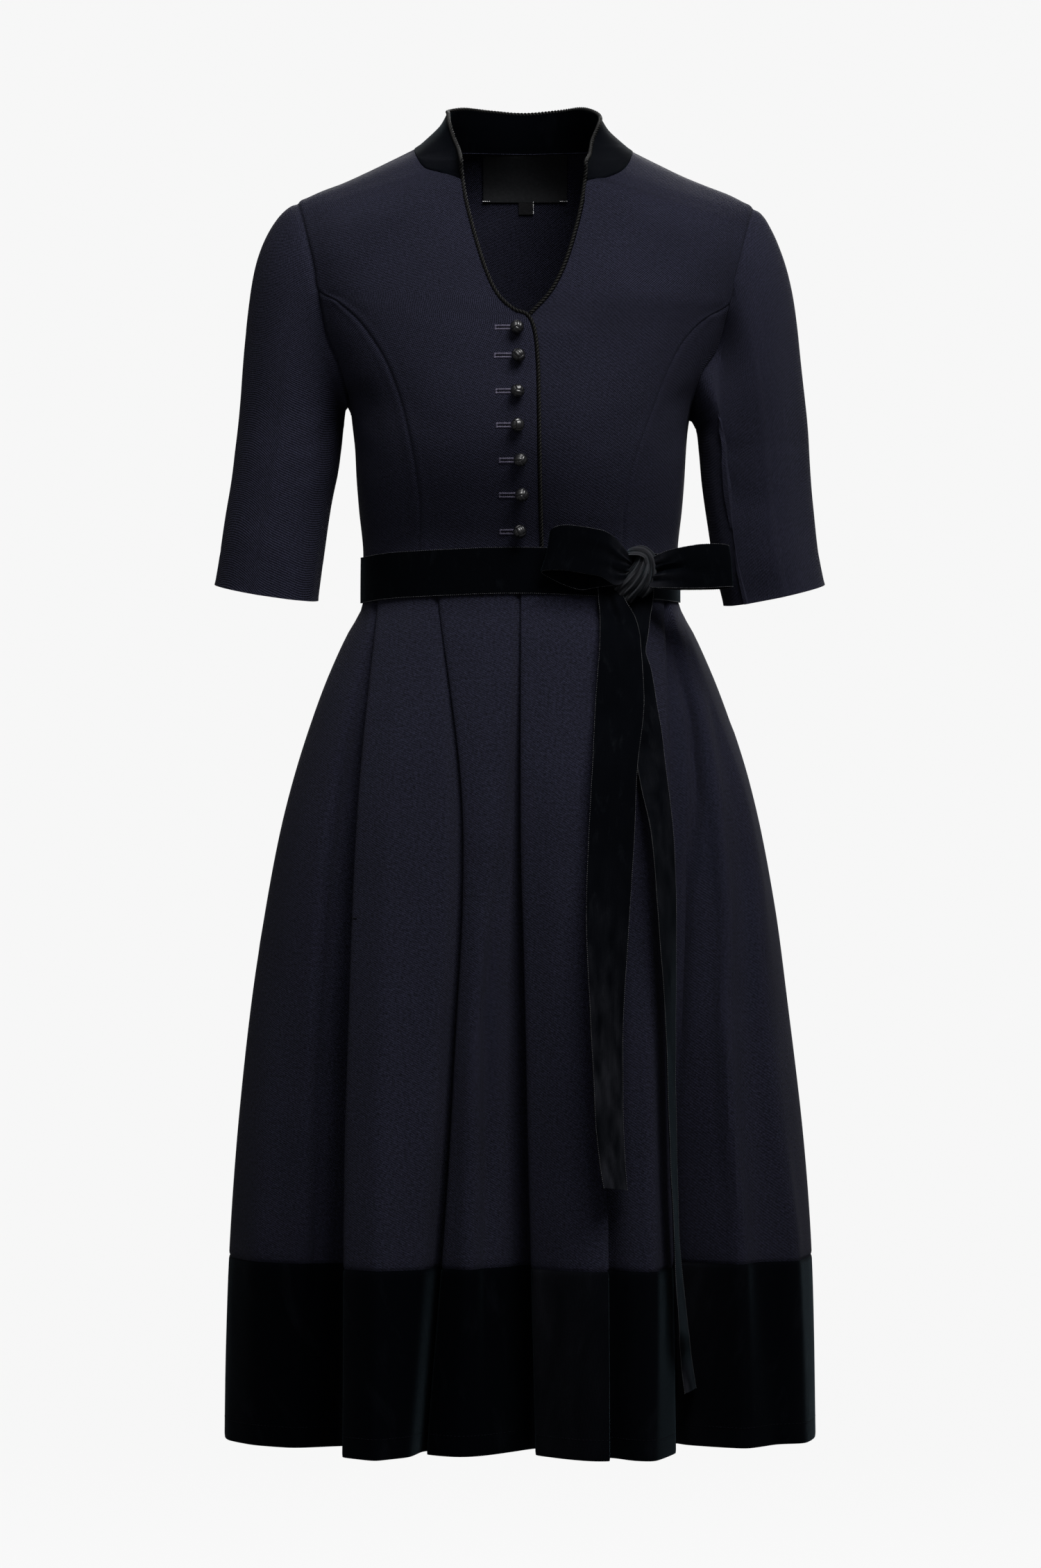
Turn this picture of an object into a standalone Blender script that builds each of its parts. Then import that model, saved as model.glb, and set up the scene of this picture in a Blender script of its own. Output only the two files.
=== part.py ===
# A midi dirndl with half sleeves, filled out as it is when worn, built from the pieces of its cut.
# Tables are in millimetres. +Z is up, the front faces -Y and the wearer's left is +X.
# The origin is the middle of the neck base, level with the points where collar and shoulder meet.

import math

import bmesh
import bpy
import numpy as np
from mathutils.bvhtree import BVHTree

MM = 0.001
SHARP_DEGREES = 40

# Cloth and trim
BODICE_WALL = 1.5
SKIRT_WALL = 1.2
RIBBON_WALL = 1.0
RIBBON_WIDTH = 36.0
SEAM_GAP = 0.3
CORD_RADIUS = 1.6
CORD_SIDES = 6
CORD_GAP = 0.4
BUTTON_SIZE = 12.0

# Heights of the horizontal seams
WAIST = -342.0
BELT_FOOT = -364.0
BAND_TOP = -887.0
HEM = -1033.0

# Outer surface of the bodice. Above the underarm the section runs on past the armhole.
BODY_SQUARENESS = 2.4
BODY_SECTIONS = (
    # height, half width, depth in front, depth behind
    (-372, 127.0, 96, 95),
    (-342, 127.0, 96, 95),
    (-318, 127.0, 96.2, 95),
    (-290, 130.0, 107, 97),
    (-265, 132.0, 117, 100),
    (-235, 134.0, 124, 104),
    (-214, 136.5, 124, 106),
    (-205, 138.0, 123, 107),
    (-194, 144.0, 121, 108),
    (-180, 151.0, 118, 108),
    (-165, 158.0, 115, 108),
    (-125, 177.0, 105, 105),
    (-80, 189.0, 90, 98),
    (-40, 195.0, 76, 90),
    (0, 197.0, 65, 84),
    (40, 197.0, 54, 80),
)

# The shoulder ridge, where front and back meet, as (x from the middle, height)
SHOULDER_RIDGE = (
    (0, 32), (50, 20), (85, 4.5), (110, -8), (137, -21), (170, -34), (180, -39), (200, -49),
)
RIDGE_ROUNDING = 60.0

# Seams of each half of the bodice as (x from the middle, height), from the waist up
SEAMS = {
    "right": {
        "side": ((127, -342), (127, -318), (130, -290), (132, -265), (134, -235), (137.9, -202)),
        "princess": (
            (82, -342), (81, -318), (80, -290), (83, -262), (88, -235),
            (95, -206), (105, -178), (116, -158), (131, -138), (148, -123),
        ),
        "armhole": (
            (137.9, -202), (140.5, -191), (146, -172), (156, -147), (162.2, -114), (165, -98), (168, -84),
            (171.5, -70), (174.5, -58), (176.6, -50), (178.2, -45), (179.4, -41.5), (180, None),
        ),
        "edge": (
            (15, -342), (14.8, -318), (14, -290), (13.4, -262), (13, -235), (12.6, -205), (12, -178),
            (9.6, -152), (4.4, -139.3), (-7.1, -134.3), (-20.3, -121), (-30.2, -99), (-38.5, -71.6),
            (-45.2, -44.2), (-48.1, -26.6), (-64, -21), (-77, -16), (-84, -4), (-85.5, None),
        ),
    },
    "left": {
        "side": ((127, -342), (127, -318), (130, -290), (132, -265), (134, -235), (136.6, -213)),
        "princess": (
            (81, -342), (81.5, -318), (82.5, -290), (87.5, -265), (95, -240),
            (105, -213), (116, -184), (128, -160), (141, -144), (152, -135),
        ),
        "armhole": (
            (136.6, -213), (139.2, -199), (146, -179), (159, -158), (168.2, -124), (171.5, -106), (175.5, -92),
            (179, -78), (182.5, -64), (185, -55), (186.6, -49), (187.6, -45), (188, None),
        ),
        "edge": (
            (-14, -342), (-14, -318), (-14, -290), (-14, -262), (-14, -235), (-14, -205), (-14, -178),
            (-9, -158), (-1, -147), (9, -138), (25.7, -119.3), (37.3, -95.6), (45.7, -68),
            (50.7, -46), (53.1, -28.2), (69, -25), (83, -17), (89.5, -4), (90, None),
        ),
    },
}
# Armhole points below the princess seam, edge points under the collar, and along the overlap
ARMHOLE_BELOW_PRINCESS = 4
EDGE_UNDER_COLLAR = 4
EDGE_PLACKET = 9
SHOULDER_STEPS = 5
SIDE_STEPS = 4
BACK_NECK_STEPS = 8
BACK_NECK_HEIGHT = 8.0
# The back's rows run level up to here, and above the underarm turn to the shoulders' spacing
BACK_EVEN_ROWS = 8
BACK_TURNING_ROWS = 8

# Under the other front, the left front sinks by a wall and a gap from here to here
UNDERLAP_FROM = 34.0
UNDERLAP_TO = 17.0
UNDERLAP_SINK = 2.8

# Stand collar, from its front ends to the middle of the back
COLLAR_SHAPE = (
    # share of the way, rise, lean to the neck on the right, lean on the left
    (0.00, 13.0, 0.5, 0.5),
    (0.085, 19.0, 17.5, 17.5),
    (0.17, 23.5, 27, 27.5),
    (0.30, 25.0, 27, 26),
    (0.443, 26.7, 26, 25),
    (0.55, 30.3, 22, 23.5),
    (0.68, 31.0, 17.5, 17),
    (0.83, 29.6, 10, 8),
    (1.00, 28.0, 6, 6),
)
COLLAR_LEVELS = (
    # share of the rise, share of the lean
    (0.0, 0.0),
    (0.3, 0.55),
    (0.65, 0.9),
    (1.0, 1.0),
)
NECK_AXIS_X = 2.5

# Sleeve outlines seen from the front, as (height, x)
SLEEVES = {
    "right": {
        "outer": ((-204, 225.7), (-268, 234), (-308, 239.7), (-348, 245.8)),
        "inner": ((-210, 141), (-249, 145.6), (-297, 154), (-335, 159.6), (-361, 163)),
        "underarm": -216,
        "cuff": (-348, -361),
    },
    "left": {
        "outer": ((-212, 230.7), (-268, 234.6), (-303, 237.4), (-348, 244.7)),
        "inner": ((-217, 141), (-249, 144.5), (-292, 149.5), (-314, 152), (-351, 160), (-365, 163.5)),
        "underarm": -226,
        "cuff": (-348, -365),
    },
}
SLEEVE_CROWN_STEPS = (0.0, 0.14, 0.3, 0.48, 0.7, 1.0)
SLEEVE_TUBE_STEPS = 4
SLEEVE_DEPTHS = (50, 46)
SLEEVE_SWING = 12.0
CUFF_FRONT_DROP = 4.0
# How the cap leaves the armhole over the shoulder and under the arm, and how it meets the tube
CAP_LEAVES_TOP = (0.88, -0.47)
CAP_LEAVES_UNDER = (0.15, -0.99)
CAP_ARRIVES = (0.09, -1.0)
CAP_LEAVING_PULL = 0.8
CAP_ARRIVING_PULL = 1.2
CAP_GAP = 0.45
OUTER_UNDERARM_RISE = 6.0

# The skirt's section before it is pleated
SKIRT_SECTIONS = (
    # height, half width, depth in front, depth behind, squareness
    (-342, 127.0, 96, 95, 2.4),
    (-364, 127.2, 96.5, 95.5, 2.4),
    (-390, 143, 107, 110, 2.38),
    (-419, 158, 117, 122, 2.36),
    (-467, 176, 133, 138, 2.32),
    (-526, 191, 149, 152, 2.28),
    (-603, 204, 164, 165, 2.22),
    (-686, 215, 178, 178, 2.16),
    (-783, 226, 192, 190, 2.1),
    (-887, 233, 205, 200, 2.04),
    (-960, 236, 211, 206, 2.0),
    (-1033, 237, 215, 210, 2.0),
)
SKIRT_ROWS = (-342, -364, -390, -419, -452, -495, -548, -610, -680, -755, -830, -887)
BAND_ROWS = (-887, -935, -985, -1033)

# Depth of a folded layer's face under the outer face at the waist
LAYER_DEPTHS = (0.0, 2.9, 3.4)
PLEAT_OPENING_POWER = 1.25
# How much a fold's way in leans to the side, and where a sharp fold's mitre stops growing
FOLD_LEAN = 0.25
SHARPEST_MITRE = 0.3

# Lines along the front's cloth, from the right side seam (-X) to the left one. Between the rows of
# a pleat the cloth doubles back on itself. x at four heights; sink is how far the hem lies in.
FOLD_HEIGHTS = (-364, -526, -740, -1033)
FRONT_FOLDS = (
    # line, x at the waist, hip, knee and hem, layer at the waist, sink at the hem
    ("side seam", None, None, None, None, 0, 0),
    ("side", None, None, None, None, 0, -3),
    ("side", None, None, None, None, 0, 6),
    ("brink", -118.5, -148, -165, -178, 0, 26),
    ("valley", -114, -129, -137, -141, 2, 72),
    ("inner fold", -92, -104, -108, -110, 2, 92),
    ("inner fold", -92, -104, -108, -110, 1, 88),
    ("edge", -114, -129, -137, -140, 1, 3),
    ("edge", -114, -129, -137, -140, 0, -2),
    ("crest", -92, -104, -110, -113, 0, -14),
    ("brink", -70, -58, -66, -86, 0, 24),
    ("valley", -65, -46, -53, -76, 2, 72),
    ("inner fold", -43, -26, -32, -52, 2, 86),
    ("inner fold", -43, -26, -32, -52, 1, 82),
    ("edge", -65, -46, -53, -75, 1, 62),
    ("edge", -65, -46, -53, -75, 0, 57),
    ("crest", -43, -26, -36, -47, 0, 32),
    ("brink", -5, -7, -20, -23, 0, 52),
    ("valley", 0, 0, 3, 9, 2, 102),
    ("inner fold", 22, 24, 28, 34, 2, 114),
    ("inner fold", 22, 24, 28, 34, 1, 110),
    ("edge", 0, 0, 3, 10, 1, 76),
    ("edge", 0, 0, 3, 10, 0, 70),
    ("crest", 22, 24, 30, 37, 0, 21),
    ("face", 44, 46, 50, 55, 0, 4),
    ("edge", 65, 67, 68, 70.6, 0, 0),
    ("edge", 65, 67, 68, 70.6, 1, 5),
    ("inner fold", 44, 46, 46, 44, 1, 34),
    ("inner fold", 44, 46, 46, 44, 2, 38),
    ("valley", 65, 67, 68, 71, 2, 26),
    ("brink", 70, 78, 84, 88, 0, -3),
    ("crest", 95, 98, 100, 104, 0, -14),
    ("edge", 115, 118.5, 118.5, 123.5, 0, 38),
    ("edge", 115, 118.5, 118.5, 123.5, 1, 43),
    ("inner fold", 95, 98, 96, 96, 1, 98),
    ("inner fold", 95, 98, 96, 96, 2, 102),
    ("valley", 115, 119, 119, 124, 2, 104),
    ("crease", 118.5, 140, 146, 150, 0, 76),
    ("ridge", 120.5, 158, 166, 178, 0, 22),
    ("trough", 122.5, 170, 186, 203, 0, 20),
    ("ridge", 124.5, 181, 206, 225, 0, -2),
    ("side seam", None, None, None, None, 0, 0),
)

# One half of the back, from the side seam to the middle; the other half mirrors it
BACK_HALF_FOLDS = (
    # the same columns as on the front
    ("side seam", None, None, None, None, 0, 0),
    ("side", None, None, None, None, 0, 0),
    ("brink", 109, 141, 164, 184, 0, 12),
    ("valley", 104, 130, 149, 165, 2, 58),
    ("inner fold", 82, 107, 124, 138, 2, 72),
    ("inner fold", 82, 107, 124, 138, 1, 68),
    ("edge", 104, 130, 149, 164, 1, 0),
    ("edge", 104, 130, 149, 164, 0, -5),
    ("crest", 82, 107, 124, 138, 0, -12),
    ("brink", 51, 66, 76, 86, 0, 16),
    ("valley", 46, 57, 65, 72, 2, 60),
    ("inner fold", 24, 34, 40, 46, 2, 74),
    ("inner fold", 24, 34, 40, 46, 1, 70),
    ("edge", 46, 57, 65, 71, 1, 2),
    ("edge", 46, 57, 65, 71, 0, -3),
    ("crest", 24, 34, 40, 46, 0, -10),
    ("middle", 0, 0, 0, 0, 0, 6),
)

# Ribbon round the waist
BELT_TOP = -322.0
BELT_STEPS = 60
BELT_SIDE_DROP = 4.0
BELT_CLEARANCE = 0.7

# The bow's knot and its two loops
KNOT_CENTRE = (95.3, -87.2, -340.0)
KNOT_HALF_SIZE = (11.0, 10.5, 17.5)
KNOT_SEGMENTS = (14, 9)
LOOPS = {
    # x, y, middle height, half the ribbon's width there
    "bow_loop_inner": (
        (88.4, -96.0, -337, 12.0),
        (74, -102, -334, 15.5),
        (58, -108, -330, 18.0),
        (40, -112, -326, 18.0),
        (26, -112.5, -323, 18.0),
        (20.5, -109, -323, 18.0),
        (22, -104.5, -324, 18.0),
        (36, -101.5, -329, 18.0),
        (54, -98.5, -333, 18.0),
        (70, -94, -336, 15.5),
        (84.6, -89.5, -337, 12.5),
    ),
    "bow_loop_outer": (
        (103.2, -95.0, -338, 12.5),
        (114, -99.5, -336.5, 15.5),
        (128, -101.5, -335.5, 17.5),
        (145, -101, -335, 17.5),
        (158, -98, -334.5, 17.5),
        (165.5, -92, -334.5, 17.5),
        (161, -86.5, -335, 17.5),
        (146, -83.5, -336, 17.5),
        (128, -82, -337, 17.0),
        (115, -82.5, -338, 15.0),
        (106.4, -84.0, -339, 12.5),
    ),
}

# The hanging ends, as (height, left edge x, right edge x): what the ribbon's turn hides runs forwards
TAILS = {
    "ribbon_end_front": (
        (-352, 74, 90.0), (-361, 68, 87), (-380, 64, 93), (-412, 60, 96), (-443, 59, 95), (-495, 56.5, 91.5),
        (-548, 54.5, 89), (-610, 54, 85), (-680, 56.5, 80.5), (-740, 59, 79.5), (-785, 61.5, 80.5), (-812, 65, 82.5),
    ),
    "ribbon_end_back": (
        (-357, 78, 104), (-390, 73, 108), (-419, 73, 109), (-452, 78, 111), (-495, 92, 114), (-548, 102, 120),
        (-610, 107, 122), (-680, 112.5, 121.5), (-755, 115, 121.5), (-830, 118, 123), (-887, 120.5, 125),
        (-935, 122.5, 131), (-973, 127.5, 136),
    ),
}
TAIL_CLEARANCE = {"ribbon_end_front": 5.0, "ribbon_end_back": 2.2}
TAIL_TURNS_FROM = {"ribbon_end_front": -361, "ribbon_end_back": -455}
TAIL_TURN_LENGTH = 120.0
TAIL_MOST_TURN = 26.0
# A hanging end rests on what lies this far beside it too, and on the skirt below the belt's edge
TAIL_SIDE_REACH = 4.0
TAIL_REST_TOP = -372.0
TAIL_REST_SAMPLES = 25

# Ball buttons down the front, as (x, height), each found on the front's face from this far before it
BUST_REACH = 400.0
BUTTON_CLEARANCE = 0.8
BUTTON_SEGMENTS = (10, 6)
BUTTONS = ((-2.7, -148), (-1.6, -170.5), (-2.2, -199), (-2.2, -226), (0, -253.5), (1.1, -280.5), (-0.5, -309))

# Neck label and size tab inside the back: low x, high x, low height, high height
NECK_LABEL = (-30.5, 38, -31, 5)
SIZE_TAB = (-1.5, 10.5, -42.5, -31.5)
LABEL_WALL = 1.0
LABEL_GAP = 0.4
LABEL_CELL = 11.0

MATERIALS = {
    "twill": ((0.0115, 0.0120, 0.0220), 0.85),
    "velvet": ((0.0016, 0.0020, 0.0032), 0.95),
    "cord": ((0.0120, 0.0120, 0.0115), 0.8),
    "thread": ((0.0030, 0.0030, 0.0040), 0.7),
    "label": ((0.0060, 0.0060, 0.0075), 0.7),
}


def clear_scene():
    for item in list(bpy.data.objects):
        bpy.data.objects.remove(item)


def make_material(name):
    colour, roughness = MATERIALS[name]
    material = bpy.data.materials.new(name)
    material.use_nodes = True
    shader = material.node_tree.nodes["Principled BSDF"]
    shader.inputs["Base Color"].default_value = (*colour, 1)
    shader.inputs["Roughness"].default_value = roughness
    shader.inputs["Metallic"].default_value = 0.0
    return material


def add_object(name, points, faces, material):
    """A smooth-shaded object from points in millimetres, with its faces turned outwards."""
    mesh = bpy.data.meshes.new(name)
    mesh.from_pydata([tuple(float(c) * MM for c in point) for point in points], [], faces)
    body = bmesh.new()
    body.from_mesh(mesh)
    bmesh.ops.recalc_face_normals(body, faces=body.faces)
    body.to_mesh(mesh)
    body.free()
    mesh.shade_smooth()
    mesh.set_sharp_from_angle(angle=math.radians(SHARP_DEGREES))
    mesh.materials.append(material)
    item = bpy.data.objects.new(name, mesh)
    bpy.context.scene.collection.objects.link(item)
    return item


def read_curve(rows, place, column=1):
    """A smooth curve through the rows of a table, read at a place in its first column."""
    rows = sorted(rows)
    places = np.array([row[0] for row in rows], float)
    values = np.array([row[column] for row in rows], float)
    slopes = np.gradient(values, places)
    place = float(np.clip(place, places[0], places[-1]))
    low = int(np.clip(np.searchsorted(places, place) - 1, 0, len(places) - 2))
    step = places[low + 1] - places[low]
    u = (place - places[low]) / step
    start = values[low] * (1 + 2 * u) + slopes[low] * step * u
    end = values[low + 1] * (3 - 2 * u) + slopes[low + 1] * step * (u - 1)
    return float(start * (1 - u) ** 2 + end * u**2)


def ease(value):
    value = min(max(value, 0.0), 1.0)
    return value * value * (3 - 2 * value)


# Cloth pieces: grids of points on the outer face, moved in by the wall


def cell_corners(grid, wraps):
    """The corners of each cell, in order, as (row, column) pairs."""
    rows, columns = grid.shape[:2]
    for i in range(rows - 1):
        for j in range(columns if wraps else columns - 1):
            k = (j + 1) % columns
            yield (i, j), (i, k), (i + 1, k), (i + 1, j)


def shared_normals(grids):
    """Outward normals of several grids. Where pieces share a seam's points, they share its normals.

    The shoulder and side seams lie in the plane between front and back, and so do their normals.
    """
    totals = {}

    def key(point):
        return tuple(np.round(point, 3))

    for grid, wraps in grids:
        for corners in cell_corners(grid, wraps):
            a, b, c, d = (grid[corner] for corner in corners)
            normal = np.cross(c - a, d - b)
            for point in (a, b, c, d):
                totals[key(point)] = totals.get(key(point), 0) + normal
    made = []
    for grid, _ in grids:
        normals = np.array([[totals[key(point)] for point in row] for row in grid])
        normals[np.abs(grid[:, :, 1]) < 1e-6, 1] = 0
        made.append(normals / np.linalg.norm(normals, axis=2, keepdims=True))
    return made


def draw_back_edges(outer, inner, wraps):
    """Moves each edge of a wall in by half the seam gap, along the cloth and square to the edge."""
    sides = [(np.s_[0], np.s_[1]), (np.s_[-1], np.s_[-2])]
    if not wraps:
        sides += [(np.s_[:, 0], np.s_[:, 1]), (np.s_[:, -1], np.s_[:, -2])]
    for edge, beside in sides:
        run = np.gradient(outer[edge], axis=0)
        run /= np.linalg.norm(run, axis=1, keepdims=True)
        way = outer[beside] - outer[edge]
        way -= run * (way * run).sum(axis=1, keepdims=True)
        way *= SEAM_GAP / 2 / np.linalg.norm(way, axis=1, keepdims=True)
        outer[edge] += way
        inner[edge] += way


def wall_faces(points, rows, columns, wraps):
    """Faces of the closed wall between an outer grid and the inner one that follows it in points."""
    count = rows * columns
    faces = []

    def at(i, j, layer):
        return layer * count + i * columns + j % columns

    def add_rim(first, second):
        """The wall's edge between two cells, cut the same way on both pieces that meet there."""
        a, b = at(*first, 0), at(*second, 0)
        c, d = at(*second, 1), at(*first, 1)
        if (round(points[a][2]), points[a][0]) < (round(points[b][2]), points[b][0]):
            faces.extend([(a, b, c), (a, c, d)])
        else:
            faces.extend([(a, b, d), (b, c, d)])

    last = columns if wraps else columns - 1
    for i in range(rows - 1):
        for j in range(last):
            faces.append((at(i, j, 0), at(i, j + 1, 0), at(i + 1, j + 1, 0)))
            faces.append((at(i, j, 0), at(i + 1, j + 1, 0), at(i + 1, j, 0)))
            faces.append((at(i, j, 1), at(i + 1, j + 1, 1), at(i, j + 1, 1)))
            faces.append((at(i, j, 1), at(i + 1, j, 1), at(i + 1, j + 1, 1)))
    for j in range(last):
        add_rim((0, j + 1), (0, j))
        add_rim((rows - 1, j), (rows - 1, j + 1))
    if not wraps:
        for i in range(rows - 1):
            add_rim((i, 0), (i + 1, 0))
            add_rim((i + 1, last), (i, last))
    return faces


def add_wall(name, outer, inner, material, wraps=False):
    outer = outer.copy()
    inner = inner.copy()
    draw_back_edges(outer, inner, wraps)
    rows, columns = outer.shape[:2]
    points = np.concatenate([outer.reshape(-1, 3), inner.reshape(-1, 3)])
    return add_object(name, points, wall_faces(points, rows, columns, wraps), material)


# Bodice


def body_at(height):
    return [read_curve(BODY_SECTIONS, height, column) for column in (1, 2, 3)]


def ridge_at(x):
    return read_curve(SHOULDER_RIDGE, abs(x))


def bodice_y(x, height, face):
    """Depth of the bodice's outer surface; face is -1 on the front and 1 on the back."""
    half_width, front, back = body_at(height)
    across = min(abs(x) / half_width, 1.0)
    drop = min(max(ridge_at(x) - height, 0.0) / RIDGE_ROUNDING, 1.0)
    fall = math.sqrt(1 - (1 - drop) ** 2)
    depth = front if face < 0 else back
    return face * depth * (1 - across**BODY_SQUARENESS) ** (1 / BODY_SQUARENESS) * fall


def angle_of(x, height):
    """Place of x round the section, 0 at the wearer's left side and pi at the right side."""
    half_width = body_at(height)[0]
    across = min(abs(x) / half_width, 1.0) ** (BODY_SQUARENESS / 2)
    return math.acos(math.copysign(across, x))


def x_of(angle, height):
    half_width = body_at(height)[0]
    cosine = math.cos(angle)
    return math.copysign(half_width * abs(cosine) ** (2 / BODY_SQUARENESS), cosine)


def seam_points(side, seam):
    """A seam of one half as signed (x, height) points, the ridge's height filled in."""
    sign = -1 if side == "right" else 1
    flip = sign if seam != "edge" else 1
    return [(flip * x, ridge_at(x) if height is None else height) for x, height in SEAMS[side][seam]]


def bodice_row(start, end, shares, near_ridge, face, sink=None):
    """Points of one row between two seam points, even round the body or along the ridge."""
    start_angle = angle_of(*start)
    end_angle = angle_of(*end)
    start_drop = ridge_at(start[0]) - start[1]
    end_drop = ridge_at(end[0]) - end[1]
    row = []
    for share in shares:
        level = start[1] + share * (end[1] - start[1])
        x = x_of(start_angle + share * (end_angle - start_angle), level)
        if share in (0, 1):
            x = start[0] if share == 0 else end[0]
        under_ridge = ridge_at(x) - (start_drop + share * (end_drop - start_drop))
        height = (1 - near_ridge) * level + near_ridge * under_ridge
        y = bodice_y(x, height, face)
        if sink:
            y += sink(x)
        row.append((x, y, height))
    return row


def even_shares(steps):
    return [step / steps for step in range(steps + 1)]


def shares_for(start, end, xs):
    """Shares of the angle between two points at which the given x values lie."""
    low = angle_of(*start)
    high = angle_of(*end)
    return [0.0] + [(angle_of(x, ridge_at(x)) - low) / (high - low) for x in xs[1:-1]] + [1.0]


def blend(first, second, share):
    return [a + share * (b - a) for a, b in zip(first, second)]


def shoulder_xs(side):
    """x of the shoulder seam's points, from the collar out to the armhole."""
    neck = seam_points(side, "edge")[-1][0]
    tip = seam_points(side, "armhole")[-1][0]
    return [neck + share * (tip - neck) for share in even_shares(SHOULDER_STEPS)]


def underlap_sink(x):
    return UNDERLAP_SINK * ease((UNDERLAP_FROM - x) / (UNDERLAP_FROM - UNDERLAP_TO))


def front_grid(side):
    """The centre front of one side, between the princess seam and the front or neck edge."""
    edge = seam_points(side, "edge")
    princess = seam_points(side, "princess")
    outer = princess + seam_points(side, "armhole")[ARMHOLE_BELOW_PRINCESS:]
    inwards = shares_for(edge[-1], outer[-1], shoulder_xs(side))
    rows = []
    for number, (start, end) in enumerate(zip(edge, outer)):
        near_ridge = max(0.0, (number - len(princess)) / (len(edge) - 1 - len(princess)))
        shares = blend(even_shares(SHOULDER_STEPS), inwards, near_ridge)
        row = bodice_row(start, end, shares, near_ridge, -1, underlap_sink if side == "left" else None)
        rows.append(row if side == "left" else row[::-1])
    return np.array(rows)


def side_front_grid(side):
    """The side front, between the side seam or armhole and the princess seam."""
    princess = seam_points(side, "princess")
    armhole = seam_points(side, "armhole")[: ARMHOLE_BELOW_PRINCESS + 1]
    outer = seam_points(side, "side")[:-1] + armhole
    shares = even_shares(SIDE_STEPS)
    rows = [bodice_row(start, end, shares, 0, -1) for start, end in zip(princess, outer)]
    # The tip's short edge is straight like the front's beside it, and draws back a little in the middle.
    tip = np.array(rows[-1])
    rows[-1] = [tip[0] + share * (tip[-1] - tip[0]) for share in shares]
    for place in range(1, SIDE_STEPS):
        down = np.array(rows[-2][place]) - rows[-1][place]
        rows[-1][place] = rows[-1][place] + down / np.linalg.norm(down) * SEAM_GAP
    return np.array([row if side == "left" else row[::-1] for row in rows])


def back_neck_row():
    """The back's top edge, from the left shoulder tip over the neck to the right one."""
    left = shoulder_xs("left")
    right = shoulder_xs("right")
    points = [(x, 0.0, ridge_at(x)) for x in reversed(left)]
    for share in even_shares(BACK_NECK_STEPS)[1:-1]:
        turn = math.pi * share
        middle = (left[0] + right[0]) / 2
        x = middle + (left[0] - right[0]) / 2 * math.cos(turn)
        rise = ease(math.sin(turn))
        height = ridge_at(left[0]) + rise * (BACK_NECK_HEIGHT - ridge_at(left[0]))
        points.append((x, bodice_y(x, height, 1), height))
    return points + [(x, 0.0, ridge_at(x)) for x in right]


def back_grid():
    left = seam_points("left", "side")[:-1] + seam_points("left", "armhole")
    right = seam_points("right", "side")[:-1] + seam_points("right", "armhole")
    top = back_neck_row()
    ends = (top[0][0], top[0][2]), (top[-1][0], top[-1][2])
    low = angle_of(*ends[0])
    high = angle_of(*ends[1])
    wanted = [0.0] + [(angle_of(x, height) - low) / (high - low) for x, _, height in top[1:-1]] + [1.0]
    underarm = len(SEAMS["left"]["side"]) - 1
    rows = []
    for number, (start, end) in enumerate(zip(left[:-1], right[:-1])):
        near_ridge = max(0.0, (number - BACK_EVEN_ROWS) / (len(left) - 1 - BACK_EVEN_ROWS))
        turned = min(1.0, max(0.0, (number - underarm) / BACK_TURNING_ROWS))
        shares = blend(even_shares(len(top) - 1), wanted, turned)
        row = bodice_row(start, end, shares, 0, 1)
        lifted = []
        for point, above in zip(row, top):
            drop = ridge_at(above[0]) - above[2]
            under = ridge_at(point[0]) - drop - (ridge_at(start[0]) - start[1])
            height = (1 - near_ridge) * point[2] + near_ridge * under
            lifted.append((point[0], bodice_y(point[0], height, 1), height))
        lifted[0] = row[0]
        lifted[-1] = row[-1]
        rows.append(lifted)
    rows.append(top)
    return np.array(rows)


def collar_grid(fronts, back):
    """The stand collar, from the wearer's right front end round the back to the left one."""
    right = fronts["right"][-EDGE_UNDER_COLLAR - 1 :, -1]
    left = fronts["left"][-EDGE_UNDER_COLLAR - 1 :, 0]
    neck = back[-1][SHOULDER_STEPS : SHOULDER_STEPS + BACK_NECK_STEPS + 1]
    seam = np.concatenate([right, neck[::-1][1:-1], left[::-1]])
    lengths = np.concatenate([[0], np.cumsum(np.linalg.norm(np.diff(seam, axis=0), axis=1))])
    rows = [[] for _ in COLLAR_LEVELS]
    for point, length in zip(seam, lengths):
        share = 1 - abs(2 * length / lengths[-1] - 1)
        rise = read_curve(COLLAR_SHAPE, share)
        lean = read_curve(COLLAR_SHAPE, share, 2 if point[0] < NECK_AXIS_X else 3)
        inwards = np.array([NECK_AXIS_X - point[0], -point[1], 0.0])
        inwards /= np.linalg.norm(inwards)
        for row, (up, over) in zip(rows, COLLAR_LEVELS):
            row.append(point + inwards * lean * over + np.array([0, 0, rise * up]))
    return np.array(rows)[:, ::-1]


def armhole_loop(side, fronts, side_fronts, back):
    """Points round one armhole: tip, down the front, underarm and up the back."""
    column = -1 if side == "left" else 0
    front = fronts[side][:, column]
    side_front = side_fronts[side][:, column]
    rear = back[:, 0 if side == "left" else -1]
    underarm = len(SEAMS[side]["side"]) - 1
    princess_top = len(SEAMS[side]["princess"])
    down = np.concatenate([front[: princess_top - 1 : -1], side_front[-2 : underarm - 1 : -1]])
    return np.concatenate([down, rear[underarm + 1 : -1]])


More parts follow.
